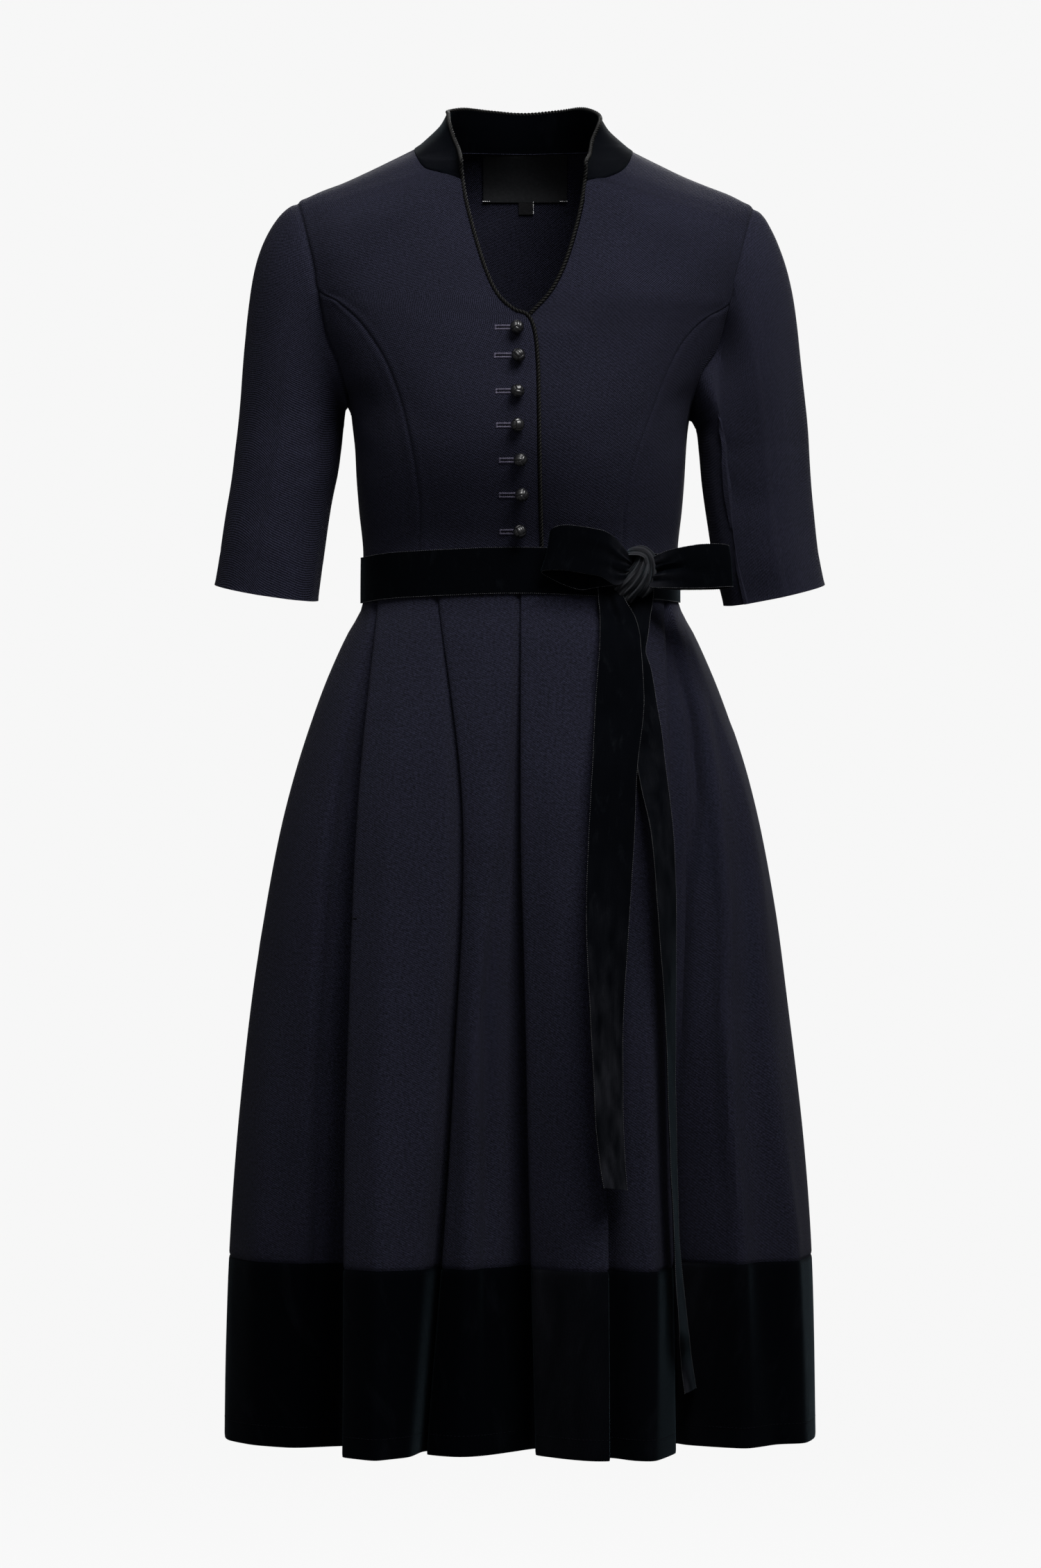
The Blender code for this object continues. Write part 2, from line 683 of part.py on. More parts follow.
def sleeve_grid(side, loop):
    sign = -1 if side == "right" else 1
    shape = SLEEVES[side]
    tip = loop[0]
    foot = loop[np.argmin(loop[:, 2])]
    middle = (tip[2] + foot[2]) / 2
    half_height = (tip[2] - foot[2]) / 2
    half_depth = np.abs(loop[:, 1]).max()
    angles = np.arctan2(-loop[:, 1] / half_depth, (loop[:, 2] - middle) / half_height)

    def ring(share, angle):
        """A point of the straight sleeve: share 0 under the arm, 1 at the cuff."""
        outer_top = shape["underarm"] + OUTER_UNDERARM_RISE
        outer_height = outer_top + share * (shape["cuff"][0] - outer_top)
        inner_height = shape["underarm"] + share * (shape["cuff"][1] - shape["underarm"])
        outer_x = read_curve(shape["outer"], outer_height)
        inner_x = read_curve(shape["inner"], inner_height)
        depth = SLEEVE_DEPTHS[0] + share * (SLEEVE_DEPTHS[1] - SLEEVE_DEPTHS[0])
        out = (1 + math.cos(angle)) / 2
        x = inner_x + out * (outer_x - inner_x)
        y = -SLEEVE_SWING * share - depth * math.sin(angle)
        height = inner_height + out * (outer_height - inner_height)
        height -= CUFF_FRONT_DROP * share * max(0.0, math.sin(angle))
        return np.array([sign * x, y, height])

    rows = []
    for u in SLEEVE_CROWN_STEPS:
        row = []
        for point, angle in zip(loop, angles):
            start = point + np.array([sign * CAP_GAP, 0, 0])
            end = ring(0, angle)
            length = np.linalg.norm(end - start)
            out, up = blend(CAP_LEAVES_TOP, CAP_LEAVES_UNDER, (1 - math.cos(angle)) / 2)
            leave = np.array([sign * out, 0, up]) * length * CAP_LEAVING_PULL
            out, up = CAP_ARRIVES
            arrive = np.array([sign * out, 0, up]) * length * CAP_ARRIVING_PULL
            place = start * (1 + 2 * u) * (1 - u) ** 2 + leave * u * (1 - u) ** 2
            place += end * u**2 * (3 - 2 * u) + arrive * u**2 * (u - 1)
            row.append(place)
        rows.append(row)
    for step in range(1, SLEEVE_TUBE_STEPS + 1):
        rows.append([ring(step / SLEEVE_TUBE_STEPS, angle) for angle in angles])
    grid = np.array(rows)
    return grid if side == "left" else grid[:, ::-1]


def build_bodice(twill, velvet):
    """Makes every piece above the waist and returns the grids that trims follow."""
    fronts = {side: front_grid(side) for side in SEAMS}
    side_fronts = {side: side_front_grid(side) for side in SEAMS}
    back = back_grid()
    collar = collar_grid(fronts, back)
    pieces = [
        ("front_right", fronts["right"], twill),
        ("front_left", fronts["left"], twill),
        ("side_front_right", side_fronts["right"], twill),
        ("side_front_left", side_fronts["left"], twill),
        ("back", back, twill),
        ("collar", collar, velvet),
    ]
    normals = shared_normals([(grid, False) for _, grid, _ in pieces])
    for (name, grid, material), normal in zip(pieces, normals):
        add_wall(name, grid, grid - normal * BODICE_WALL, material)
    for side in SEAMS:
        grid = sleeve_grid(side, armhole_loop(side, fronts, side_fronts, back))
        normal = shared_normals([(grid, True)])[0]
        add_wall(f"sleeve_{side}", grid, grid - normal * BODICE_WALL, twill, wraps=True)
    return fronts, collar


# Skirt


def skirt_at(height):
    return [read_curve(SKIRT_SECTIONS, height, column) for column in (1, 2, 3, 4)]


def skirt_base(angle, height, face):
    """Point of the unpleated section and the way that a fold sinks there."""
    half_width, front, back, squareness = skirt_at(height)
    depth = front if face < 0 else back
    cosine = math.cos(angle)
    sine = max(math.sin(angle), 0.0)
    x = math.copysign(half_width * abs(cosine) ** (2 / squareness), cosine)
    y = face * depth * sine ** (2 / squareness)
    out_x = math.copysign(abs(x / half_width) ** (squareness - 1) / half_width, x) * FOLD_LEAN
    out_y = face * abs(y / depth) ** (squareness - 1) / depth
    length = math.hypot(out_x, out_y)
    return np.array([x, y]), np.array([out_x, out_y]) / length


def skirt_angle(x, height):
    half_width, _, _, squareness = skirt_at(height)
    across = min(abs(x) / half_width, 1.0) ** (squareness / 2)
    return math.acos(math.copysign(across, x))


def fold_x(fold, height):
    return read_curve(tuple(zip(FOLD_HEIGHTS, fold[1:5])), height)


def sink_of(fold, height):
    opening = max(0.0, (BELT_FOOT - height) / (BELT_FOOT - HEM)) ** PLEAT_OPENING_POWER
    layer = LAYER_DEPTHS[fold[5]]
    return layer + (fold[6] - layer) * opening


def fold_angles(folds, height, face):
    """Angle of each fold line round the section, so that the sunk point has the wanted x."""
    angles = []
    for number, fold in enumerate(folds):
        if fold[1] is None:
            angles.append(None)
            continue
        wanted = fold_x(fold, height)
        x = wanted
        for _ in range(4):
            _, out = skirt_base(skirt_angle(x, height), height, face)
            x = wanted + out[0] * sink_of(fold, height)
        angles.append(skirt_angle(x, height))
    ends = (0.0, math.pi) if fold_side(folds) > 0 else (math.pi, 0.0)
    angles[0] = ends[0]
    angles[-1] = ends[1]
    known = [number for number, angle in enumerate(angles) if angle is not None]
    return [float(np.interp(number, known, [angles[k] for k in known])) for number in range(len(angles))]


def fold_side(folds):
    """1 where the lines run from +X to -X, -1 where they run the other way."""
    first = next(fold for fold in folds if fold[1] is not None)
    return 1 if first[1] > 0 else -1


def section_points(folds, height, face):
    points = []
    for fold, angle in zip(folds, fold_angles(folds, height, face)):
        base, out = skirt_base(angle, height, face)
        points.append(base - out * sink_of(fold, height))
    return np.array(points)


def inner_section(points, wall):
    """The section moved in by the wall, mitred at folds and square to the side seams at its ends."""
    runs = np.diff(points, axis=0)
    runs /= np.linalg.norm(runs, axis=1, keepdims=True)
    inwards = np.stack([-runs[:, 1], runs[:, 0]], axis=1)
    moved = [points[0] + wall * np.array([-np.sign(points[0][0]), 0])]
    for before, after, point in zip(inwards[:-1], inwards[1:], points[1:-1]):
        moved.append(point + wall * (before + after) / max(1 + before @ after, SHARPEST_MITRE))
    moved.append(points[-1] + wall * np.array([-np.sign(points[-1][0]), 0]))
    return np.array(moved)


def mirrored_folds(half):
    """A whole set of lines from one half: the mirror half comes first, turned round."""
    other = [(fold[0], *(None if x is None else -x for x in fold[1:5]), *fold[5:]) for fold in half]
    return tuple(half) + tuple(other[-2::-1])


def pleated_grids(folds, heights, face, wall):
    outer = []
    inner = []
    for height in reversed(heights):
        points = section_points(folds, height, face)
        moved = inner_section(points, wall)
        outer.append([(x, y, height) for x, y in points])
        inner.append([(x, y, height) for x, y in moved])
    return np.array(outer, float), np.array(inner, float)


def build_skirt(twill, velvet):
    back_folds = mirrored_folds(BACK_HALF_FOLDS)
    for where, folds, face in (("front", FRONT_FOLDS, -1), ("back", back_folds, 1)):
        outer, inner = pleated_grids(folds, SKIRT_ROWS, face, SKIRT_WALL)
        add_wall(f"skirt_{where}", outer, inner, twill)
        outer, inner = pleated_grids(folds, BAND_ROWS, face, SKIRT_WALL)
        add_wall(f"hem_band_{where}", outer, inner, velvet)


def skirt_front_y(low_x, high_x, height):
    """The foremost y of the pleated front between two x values."""
    points = section_points(FRONT_FOLDS, max(height, HEM), -1)
    found = []
    for (x0, y0), (x1, y1) in zip(points[:-1], points[1:]):
        for x in np.linspace(low_x, high_x, TAIL_REST_SAMPLES):
            if min(x0, x1) <= x <= max(x0, x1) and x0 != x1:
                found.append(y0 + (y1 - y0) * (x - x0) / (x1 - x0))
    return min(found)


# Ribbon, bow and its ends


def build_belt(velvet):
    rows = []
    for height in (BELT_TOP - RIBBON_WIDTH, BELT_TOP):
        row = []
        for step in range(BELT_STEPS):
            turn = 2 * math.pi * step / BELT_STEPS
            face = -1 if math.sin(turn) < 0 else 1
            half_width, front, back = body_at(WAIST)
            depth = (front if face < 0 else back) + BELT_CLEARANCE + RIBBON_WALL
            across = abs(math.cos(turn)) ** (2 / BODY_SQUARENESS)
            along = abs(math.sin(turn)) ** (2 / BODY_SQUARENESS)
            x = math.copysign((half_width + BELT_CLEARANCE + RIBBON_WALL) * across, math.cos(turn))
            drop = BELT_SIDE_DROP * across**2
            row.append((x, face * depth * along, height - drop))
        rows.append(row)
    outer = np.array(rows)
    normal = shared_normals([(outer, True)])[0]
    add_wall("waist_ribbon", outer, outer - normal * RIBBON_WALL, velvet, wraps=True)


def build_knot(velvet):
    body = bmesh.new()
    bmesh.ops.create_uvsphere(body, u_segments=KNOT_SEGMENTS[0], v_segments=KNOT_SEGMENTS[1], radius=1)
    points = [[c + s * v for c, s, v in zip(KNOT_CENTRE, KNOT_HALF_SIZE, vert.co)] for vert in body.verts]
    faces = [[vert.index for vert in face.verts] for face in body.faces]
    body.free()
    add_object("bow_knot", points, faces, velvet)


def build_loop(name, velvet):
    """A ribbon on edge that runs out from the knot and back to it."""
    rows = []
    for side in (-1, 1):
        rows.append([(x, y, height + side * half) for x, y, height, half in LOOPS[name]])
    outer = np.array(rows, float)
    normal = shared_normals([(outer, False)])[0]
    add_wall(name, outer, outer - normal * RIBBON_WALL, velvet)


def build_tail(name, velvet):
    """A hanging ribbon end that stays just clear of the pleats behind it."""
    rows = []
    for height, left, right in TAILS[name]:
        rest = skirt_front_y(left - TAIL_SIDE_REACH, right + TAIL_SIDE_REACH, min(height, TAIL_REST_TOP))
        rear = rest - TAIL_CLEARANCE[name]
        hidden = math.sqrt(max(RIBBON_WIDTH**2 - (right - left) ** 2, 0.0))
        turn = min(hidden, TAIL_MOST_TURN) * ease((TAIL_TURNS_FROM[name] - height) / TAIL_TURN_LENGTH)
        row = []
        for share in (0.0, 0.5, 1.0):
            row.append((left + share * (right - left), rear - turn * (1 - share), height))
        rows.append(row)
    outer = np.array(rows[::-1])
    normal = shared_normals([(outer, False)])[0]
    add_wall(name, outer, outer - normal * RIBBON_WALL, velvet)


# Buttons, piping and labels


def faces_of(item):
    """Ray-casting tree of an object, in millimetres."""
    points = [vert.co / MM for vert in item.data.vertices]
    return BVHTree.FromPolygons(points, [tuple(face.vertices) for face in item.data.polygons])


def build_buttons(thread):
    front = faces_of(bpy.data.objects["front_right"])
    radius = BUTTON_SIZE / 2
    for number, (x, height) in enumerate(BUTTONS, 1):
        body = bmesh.new()
        bmesh.ops.create_uvsphere(
            body, u_segments=BUTTON_SEGMENTS[0], v_segments=BUTTON_SEGMENTS[1], radius=radius
        )
        surface = front.ray_cast((x, -BUST_REACH, height), (0, 1, 0))[0]
        middle = surface.y - radius - BUTTON_CLEARANCE
        points = [(x + vert.co.x, middle + vert.co.y, height + vert.co.z) for vert in body.verts]
        faces = [[vert.index for vert in face.verts] for face in body.faces]
        body.free()
        add_object(f"button_{number}", points, faces, thread)


def along_edge(edge, beside):
    """Cord centres beside an edge, out past it by the cord's radius and the seam gap."""
    runs = np.gradient(edge, axis=0)
    runs /= np.linalg.norm(runs, axis=1, keepdims=True)
    out = edge - beside
    out -= runs * (out * runs).sum(axis=1, keepdims=True)
    out /= np.linalg.norm(out, axis=1, keepdims=True)
    return out * (CORD_RADIUS + CORD_GAP)


def piping_path(fronts, collar):
    """Cord centres up the overlap and right neckline, round the collar and down the left neckline."""
    right = fronts["right"][1:-EDGE_UNDER_COLLAR]
    left = fronts["left"][EDGE_PLACKET:-EDGE_UNDER_COLLAR][::-1]
    top = collar[-1][::-1]
    collar_right = collar[1:, -1]
    collar_left = collar[1:, 0][::-1]
    out_right = along_edge(collar_right, collar[1:, -2])
    out_left = along_edge(collar_left, collar[1:, 1][::-1])
    up = along_edge(top, collar[-2][::-1])
    path = [right[:, -1] + along_edge(right[:, -1], right[:, -2])]
    path.append(collar_right[:-1] + out_right[:-1])
    path.append(top[:1] + out_right[-1:] + up[:1])
    path.append(top[1:-1] + up[1:-1])
    path.append(top[-1:] + out_left[:1] + up[-1:])
    path.append(collar_left[1:] + out_left[1:])
    path.append(left[:, 0] + along_edge(left[:, 0], left[:, 1]))
    foot = path[0][:1] + np.array([[0, 0, BELT_TOP + SEAM_GAP - path[0][0, 2]]])
    return np.concatenate([foot, *path])


def build_cord(name, path, material):
    """A cord of few sides along a path."""
    ways = np.gradient(path, axis=0)
    ways /= np.linalg.norm(ways, axis=1, keepdims=True)
    side = np.cross(ways[0], (0, 1, 0))
    side /= np.linalg.norm(side)
    points = []
    for place, way in zip(path, ways):
        side = side - way * (side @ way)
        side /= np.linalg.norm(side)
        other = np.cross(way, side)
        for corner in range(CORD_SIDES):
            turn = 2 * math.pi * corner / CORD_SIDES
            points.append(place + CORD_RADIUS * (side * math.cos(turn) + other * math.sin(turn)))
    last = CORD_SIDES * (len(path) - 1)
    faces = [tuple(range(CORD_SIDES))[::-1], tuple(range(last, last + CORD_SIDES))]
    for low in range(0, last, CORD_SIDES):
        for corner in range(CORD_SIDES):
            after = (corner + 1) % CORD_SIDES
            above = low + CORD_SIDES
            faces.append((low + corner, low + after, above + after, above + corner))
    return add_object(name, points, faces, material)


def build_label(name, box, material):
    """A flat tab on the inner face of the back, made from points of that face."""
    back = faces_of(bpy.data.objects["back"])
    low_x, high_x, low, high = box
    steps = max(2, round((high_x - low_x) / LABEL_CELL))
    rises = max(1, round((high - low) / LABEL_CELL))
    outer = []
    for rise in range(rises + 1):
        height = low + (high - low) * rise / rises
        row = []
        for step in range(steps + 1):
            x = low_x + (high_x - low_x) * step / steps
            row.append((x, back.ray_cast((x, 0, height), (0, 1, 0))[0].y - LABEL_GAP, height))
        outer.append(row)
    outer = np.array(outer)
    inner = outer + np.array([0, -LABEL_WALL, 0])
    add_wall(name, outer, inner, material)


def main():
    clear_scene()
    materials = {name: make_material(name) for name in MATERIALS}
    fronts, collar = build_bodice(materials["twill"], materials["velvet"])
    build_skirt(materials["twill"], materials["velvet"])
    build_belt(materials["velvet"])
    build_knot(materials["velvet"])
    for name in LOOPS:
        build_loop(name, materials["velvet"])
    for name in TAILS:
        build_tail(name, materials["velvet"])
    build_cord("edge_piping", piping_path(fronts, collar), materials["cord"])
    build_buttons(materials["thread"])
    build_label("neck_label", NECK_LABEL, materials["label"])
    build_label("size_tab", SIZE_TAB, materials["label"])


main()
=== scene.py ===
# Midi dirndl with half sleeves: cloth, velvet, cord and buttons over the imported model.
# Sizes are in millimetres until a mesh is made. The front faces -Y, the wearer's left is +X.
import functools
import math

import bmesh
import bpy
import numpy as np
from mathutils import Matrix, Vector, noise
from mathutils.bvhtree import BVHTree


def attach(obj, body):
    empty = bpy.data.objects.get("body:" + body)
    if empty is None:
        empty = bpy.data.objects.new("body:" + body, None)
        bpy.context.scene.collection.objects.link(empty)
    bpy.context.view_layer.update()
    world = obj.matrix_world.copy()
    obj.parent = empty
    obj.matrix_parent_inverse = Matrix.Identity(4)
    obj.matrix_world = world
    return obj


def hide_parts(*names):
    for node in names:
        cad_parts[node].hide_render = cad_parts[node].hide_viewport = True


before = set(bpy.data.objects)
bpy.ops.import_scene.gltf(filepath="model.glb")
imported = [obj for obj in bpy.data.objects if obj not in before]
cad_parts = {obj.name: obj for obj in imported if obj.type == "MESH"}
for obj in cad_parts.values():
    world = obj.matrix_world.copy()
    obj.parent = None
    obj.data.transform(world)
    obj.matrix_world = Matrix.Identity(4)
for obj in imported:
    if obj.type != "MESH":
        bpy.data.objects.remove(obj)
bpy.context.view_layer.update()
mm = 0.001


def placed(name, data):
    item = bpy.data.objects.new(name, data)
    bpy.context.scene.collection.objects.link(item)
    return item


def plug(tree, socket, value):
    # Links a socket to another one, or sets its value
    if isinstance(value, bpy.types.NodeSocket):
        tree.links.new(value, socket)
    else:
        socket.default_value = value


def fillSockets(tree, sockets, values):
    for label, value in values.items():
        plug(tree, sockets[label], value)


def addNode(tree, kind, place=(0, 0), **settings):
    # Settings are inputs and properties of the node. A socket given for an input is linked to it.
    node = tree.nodes.new(kind)
    node.location = place
    for name, value in settings.items():
        if name in node.inputs:
            plug(tree, node.inputs[name], value)
        else:
            setattr(node, name, value)
    return node


def startMaterial(name):
    material = bpy.data.materials.new(name)
    material.use_nodes = True
    return material, material.node_tree, material.node_tree.nodes["Principled BSDF"].inputs


def gridFaces(rows, columns, wraps, shift=0):
    faces = []
    for i in range(rows - 1):
        low = shift + i * columns
        for j in range(columns if wraps else columns - 1):
            k = (j + 1) % columns
            faces.append([low + j, low + k, low + columns + k, low + columns + j])
    return faces


# Camera, light and stage, in metres

view = {"distance": 5.0, "height": -0.5085, "lens": 142.2, "clipEnd": 50}
studio = {
    "world": 0.21,
    # name: place, size, power, aims at
    "lights": {
        "keyLight": ((0.85, -1.6, 1.9), 1.5, 156, (0, 0, -0.2)),
        "fillLight": ((-1.5, -3.2, 0.6), 2.0, 12, (0, 0, -0.2)),
        "topLight": ((-0.4, -0.9, 1.9), 1.6, 15, (0, 0, -0.1)),
        "backLight": ((0.5, 3.0, 1.7), 2.4, 170, (0, 0, -0.4)),
    },
}
# Paper all round: floor, curve and wall turned about the upright axis
paper = {
    "brightness": 0.922,
    "shade": 0.02,
    "floorHeight": -1.6,
    "floorRadii": (0.01, 6.6),
    "curve": 1.2,
    "curveTurns": np.linspace(0, 1.57, 12),
    "wallHeight": 9,
    "sides": 96,
}


def setUpView():
    scene = bpy.context.scene
    scene.view_settings.view_transform = "Standard"
    camera = placed("photoCamera", bpy.data.cameras.new("photoCamera"))
    camera.data.lens = view["lens"]
    camera.data.clip_end = view["clipEnd"]
    camera.location = (0, -view["distance"], view["height"])
    camera.rotation_euler = (math.radians(90), 0, 0)
    scene.camera = camera
    scene.world = bpy.data.worlds.new("studio")
    scene.world.use_nodes = True
    sky = scene.world.node_tree
    fillSockets(sky, sky.nodes["Background"].inputs, {"Color": (1, 1, 1, 1), "Strength": studio["world"]})
    for name, (place, size, power, aim) in studio["lights"].items():
        light = bpy.data.lights.new(name, "AREA")
        light.size = size
        light.energy = power
        item = placed(name, light)
        item.location = place
        item.rotation_euler = (Vector(aim) - Vector(place)).to_track_quat("-Z", "Y").to_euler()


def makePaper():
    hub, floor = paper["floorRadii"]
    curve, sides = paper["curve"], paper["sides"]
    rows = [(hub, 0)]
    for turn in paper["curveTurns"]:
        rows.append((floor + curve * math.sin(turn), curve - curve * math.cos(turn)))
    rows.append((floor + curve, paper["wallHeight"]))
    turns = np.linspace(0, 2 * math.pi, sides, endpoint=False)
    points = [(r * math.cos(t), r * math.sin(t), paper["floorHeight"] + z) for r, z in rows for t in turns]
    faces = [face[::-1] for face in gridFaces(len(rows), sides, True)] + [list(range(sides))]
    mesh = bpy.data.meshes.new("paperSweep")
    mesh.from_pydata(points, [], faces)
    mesh.shade_smooth()
    material, tree, shader = startMaterial("paper")
    look = {
        "Base Color": (paper["shade"],) * 3 + (1,),
        "Roughness": 1.0,
        "Specular IOR Level": 0.0,
        "Emission Color": (1, 1, 1, 1),
        "Emission Strength": paper["brightness"],
    }
    fillSockets(tree, shader, look)
    mesh.materials.append(material)
    sweep = placed("paperSweep", mesh)
    # the paper is a picture's ground only, it throws no light on the cloth
    sweep.visible_diffuse = sweep.visible_glossy = sweep.visible_shadow = False


setUpView()
makePaper()
print("view and studio are set")

# Materials


def addInputs(tree, inputs):
    # The kind of each socket comes from its value: number, vector, colour, or None for a material
    kinds = {1: "Float", 3: "Vector", 4: "Color"}
    for label, value in inputs.items():
        kind = "Material" if value is None else kinds[np.size(value)]
        socket = tree.interface.new_socket(label, in_out="INPUT", socket_type=f"NodeSocket{kind}")
        if value is not None:
            socket.default_value = value


def treeEnds(tree, width):
    ends = addNode(tree, "NodeGroupInput", (-900, 0)), addNode(tree, "NodeGroupOutput", (width, 0))
    return tree, ends[0].outputs, ends[1].inputs


def newGroup(name, inputs):
    group = bpy.data.node_groups.new(name, "ShaderNodeTree")
    addInputs(group, inputs)
    for label, kind in (("Colour", "Color"), ("Height", "Float"), ("Roughness", "Float")):
        group.interface.new_socket(label, in_out="OUTPUT", socket_type=f"NodeSocket{kind}")
    return treeEnds(group, 900)


def maths(tree, *operations):
    # A function for each operation, which adds its node and gives the result
    def made(operation):
        def calculate(*values):
            node = addNode(tree, "ShaderNodeMath", operation=operation)
            for socket, value in zip(node.inputs, values):
                plug(tree, socket, value)
            return node.outputs[0]

        return calculate

    return [made(operation) for operation in operations]


def mapped(tree, value, start, end, low=0.0, high=1.0, place=(0, 0)):
    settings = {"Value": value, "From Min": start, "From Max": end, "To Min": low, "To Max": high}
    return addNode(tree, "ShaderNodeMapRange", place, **settings).outputs[0]


def mixColour(tree, share, first, second, place=(0, 0)):
    node = addNode(tree, "ShaderNodeMix", place, data_type="RGBA")
    for number, value in ((0, share), (6, first), (7, second)):
        plug(tree, node.inputs[number], value)
    return node.outputs[2]


# Twill and velvet are laid out by the map named cloth, in metres along it
weave = {
    # noises: scale, detail
    "wobble": (90.0, 2.0),
    "yarn": (900.0, 2.0),
    "broad": (14.0, 3.0),
    "slubs": (430.0, 1.0),
    "sway": 0.0007,
    # the floats' own slope and turns per rib
    "floats": (0.55, 5.1),
    # height of ribs, floats and yarn
    "relief": (0.3, 0.12, 0.9),
    "groove": (0.1, 0.75),
    "shade": (0.3, 0.7, 0.9, 1.1),
    "roughness": (0.95, 0.78),
}
nap = {
    "patches": {"Detail": 5.0, "Roughness": 0.62, "Distortion": 0.4},
    "hairs": (1600.0, 1.0),
    "rows": {"Scale": 260.0, "Distortion": 3.0, "Detail Scale": 40.0},
    "edge": 0.16,
    "grain": 0.45,
    # height of hairs, rows and patches
    "relief": (0.7, 0.3, -0.5),
    "streaks": (0.35, 0.65, 0.6, 1.3),
    "litRows": 0.5,
    "roughness": (0.9, 0.7),
}


def clothMap(tree):
    return addNode(tree, "ShaderNodeUVMap", (-900, 300), uv_map="cloth").outputs[0]


def clothNoise(tree, uv, values, place):
    scale, detail = values
    return addNode(tree, "ShaderNodeTexNoise", place, Vector=uv, Scale=scale, Detail=detail).outputs["Fac"]


def buildTwillGroup():
    # Diagonal ribs broken into short floats, with uneven yarn, and painted shade: the grooves between the
    # ribs are coloured darker
    tree, given, result = newGroup(
        "twillWeave",
        {
            "Colour": (0.0110, 0.0112, 0.0205, 1),
            "Groove Shade Colour": (0.0022, 0.0024, 0.0055, 1),
            "Rib Pitch": 0.0019,
            "Slope": 1.1,
            "Depth": 1.0,
            "Slub": 1.2,
        },
    )
    add, take, times, over, sine = maths(tree, "ADD", "SUBTRACT", "MULTIPLY", "DIVIDE", "SINE")
    uv = clothMap(tree)
    split = addNode(tree, "ShaderNodeSeparateXYZ", (-700, 300), Vector=uv).outputs
    names = ("wobble", "yarn", "broad", "slubs")
    wobble, yarn, broad, slubs = (
        clothNoise(tree, uv, weave[name], (-500, 100 - 200 * number)) for number, name in enumerate(names)
    )
    sway = times(take(wobble, 0.5), weave["sway"])
    across = add(take(split["Y"], times(split["X"], given["Slope"])), sway)
    rib = sine(times(over(across, given["Rib Pitch"]), 2 * math.pi))
    floatSlope, floatTurns = weave["floats"]
    along = add(split["Y"], times(split["X"], floatSlope))
    floats = sine(times(over(along, given["Rib Pitch"]), floatTurns))
    ribHigh, floatHigh, yarnHigh = weave["relief"]
    height = add(times(rib, ribHigh), times(floats, floatHigh))
    height = add(height, times(take(yarn, 0.5), yarnHigh))
    height = add(times(height, given["Depth"]), 0.5)
    # painted shade: low parts of the weave take the darker groove colour
    mask = mapped(tree, height, *weave["groove"], place=(300, 200))
    colour = mixColour(tree, mask, given["Groove Shade Colour"], given["Colour"], (500, 200))
    shade = mapped(tree, broad, *weave["shade"], place=(300, -300))
    uneven = times(take(slubs, 0.5), given["Slub"])
    light = times(shade, add(uneven, 1.0))
    tone = addNode(tree, "ShaderNodeVectorMath", (700, 100), operation="SCALE", Vector=colour, Scale=light)
    rough = mapped(tree, mask, 0.0, 1.0, *weave["roughness"], place=(500, -100))
    fillSockets(tree, result, {"Colour": tone.outputs[0], "Height": height, "Roughness": rough})
    return tree


def buildNapGroup():
    # Pile pressed this way and that in cloudy patches, and painted sheen: a lighter colour in fine rows and
    # single bright hairs, as much as each point's attribute asks
    tree, given, result = newGroup(
        "velvetNap",
        {
            "Deep": (0.0002, 0.0004, 0.0009, 1),
            "Brushed": (0.0012, 0.0015, 0.0024, 1),
            "Patch Size": 34.0,
            "Cover": 0.56,
            # the colour of the painted sheen
            "Painted Sheen": (0.0115, 0.0120, 0.0150, 1),
            "Streak": (1.0, 0.4, 1.0),
        },
    )
    add, times = maths(tree, "ADD", "MULTIPLY")
    uv = clothMap(tree)
    drawn = addNode(tree, "ShaderNodeVectorMath", (-750, 300), operation="MULTIPLY", Vector=uv)
    plug(tree, drawn.inputs[1], given["Streak"])
    patches = addNode(tree, "ShaderNodeTexNoise", (-600, 300), Vector=drawn.outputs[0], **nap["patches"])
    plug(tree, patches.inputs["Scale"], given["Patch Size"])
    patches = patches.outputs["Fac"]
    hairs = clothNoise(tree, uv, nap["hairs"], (-600, 0))
    rows = addNode(tree, "ShaderNodeTexWave", (-600, -300), Vector=uv, **nap["rows"]).outputs["Fac"]
    mask = mapped(tree, patches, given["Cover"], add(given["Cover"], nap["edge"]), place=(-200, 300))
    grainy = times(mask, add(hairs, nap["grain"]))
    # painted sheen: how much of the lighter colour each point gets, read from the mesh attribute
    sheenShare = addNode(tree, "ShaderNodeAttribute", (-600, -600), attribute_name="painted_sheen").outputs["Fac"]
    lit = times(sheenShare, add(times(rows, nap["litRows"]), hairs))
    lit = times(lit, mapped(tree, patches, *nap["streaks"], place=(-400, 400)))
    colour = mixColour(tree, grainy, given["Deep"], given["Brushed"], (300, 200))
    colour = mixColour(tree, lit, colour, given["Painted Sheen"], (450, 200))
    hairHigh, rowHigh, patchHigh = nap["relief"]
    height = add(times(hairs, hairHigh), times(rows, rowHigh))
    height = add(height, times(mask, patchHigh))
    rough = mapped(tree, mask, 0.0, 1.0, *nap["roughness"], place=(500, -100))
    fillSockets(tree, result, {"Colour": colour, "Height": height, "Roughness": rough})
    return tree


def clothMaterial(name, group, values, bump, sheen, specular):
    # bump: strength, distance; sheen: weight, roughness, tint
    material, tree, shader = startMaterial(name)
    cloth = addNode(tree, "ShaderNodeGroup", (-700, 0), node_tree=group, **values).outputs
    size = {"Strength": bump[0], "Distance": bump[1]}
    relief = addNode(tree, "ShaderNodeBump", (-300, -300), Height=cloth["Height"], **size)
    look = {
        "Base Color": cloth["Colour"],
        "Roughness": cloth["Roughness"],
        "Normal": relief.outputs["Normal"],
        "Specular IOR Level": specular,
        "Sheen Weight": sheen[0],
        "Sheen Roughness": sheen[1],
        "Sheen Tint": (*sheen[2], 1),
    }
    fillSockets(tree, shader, look)
    return material


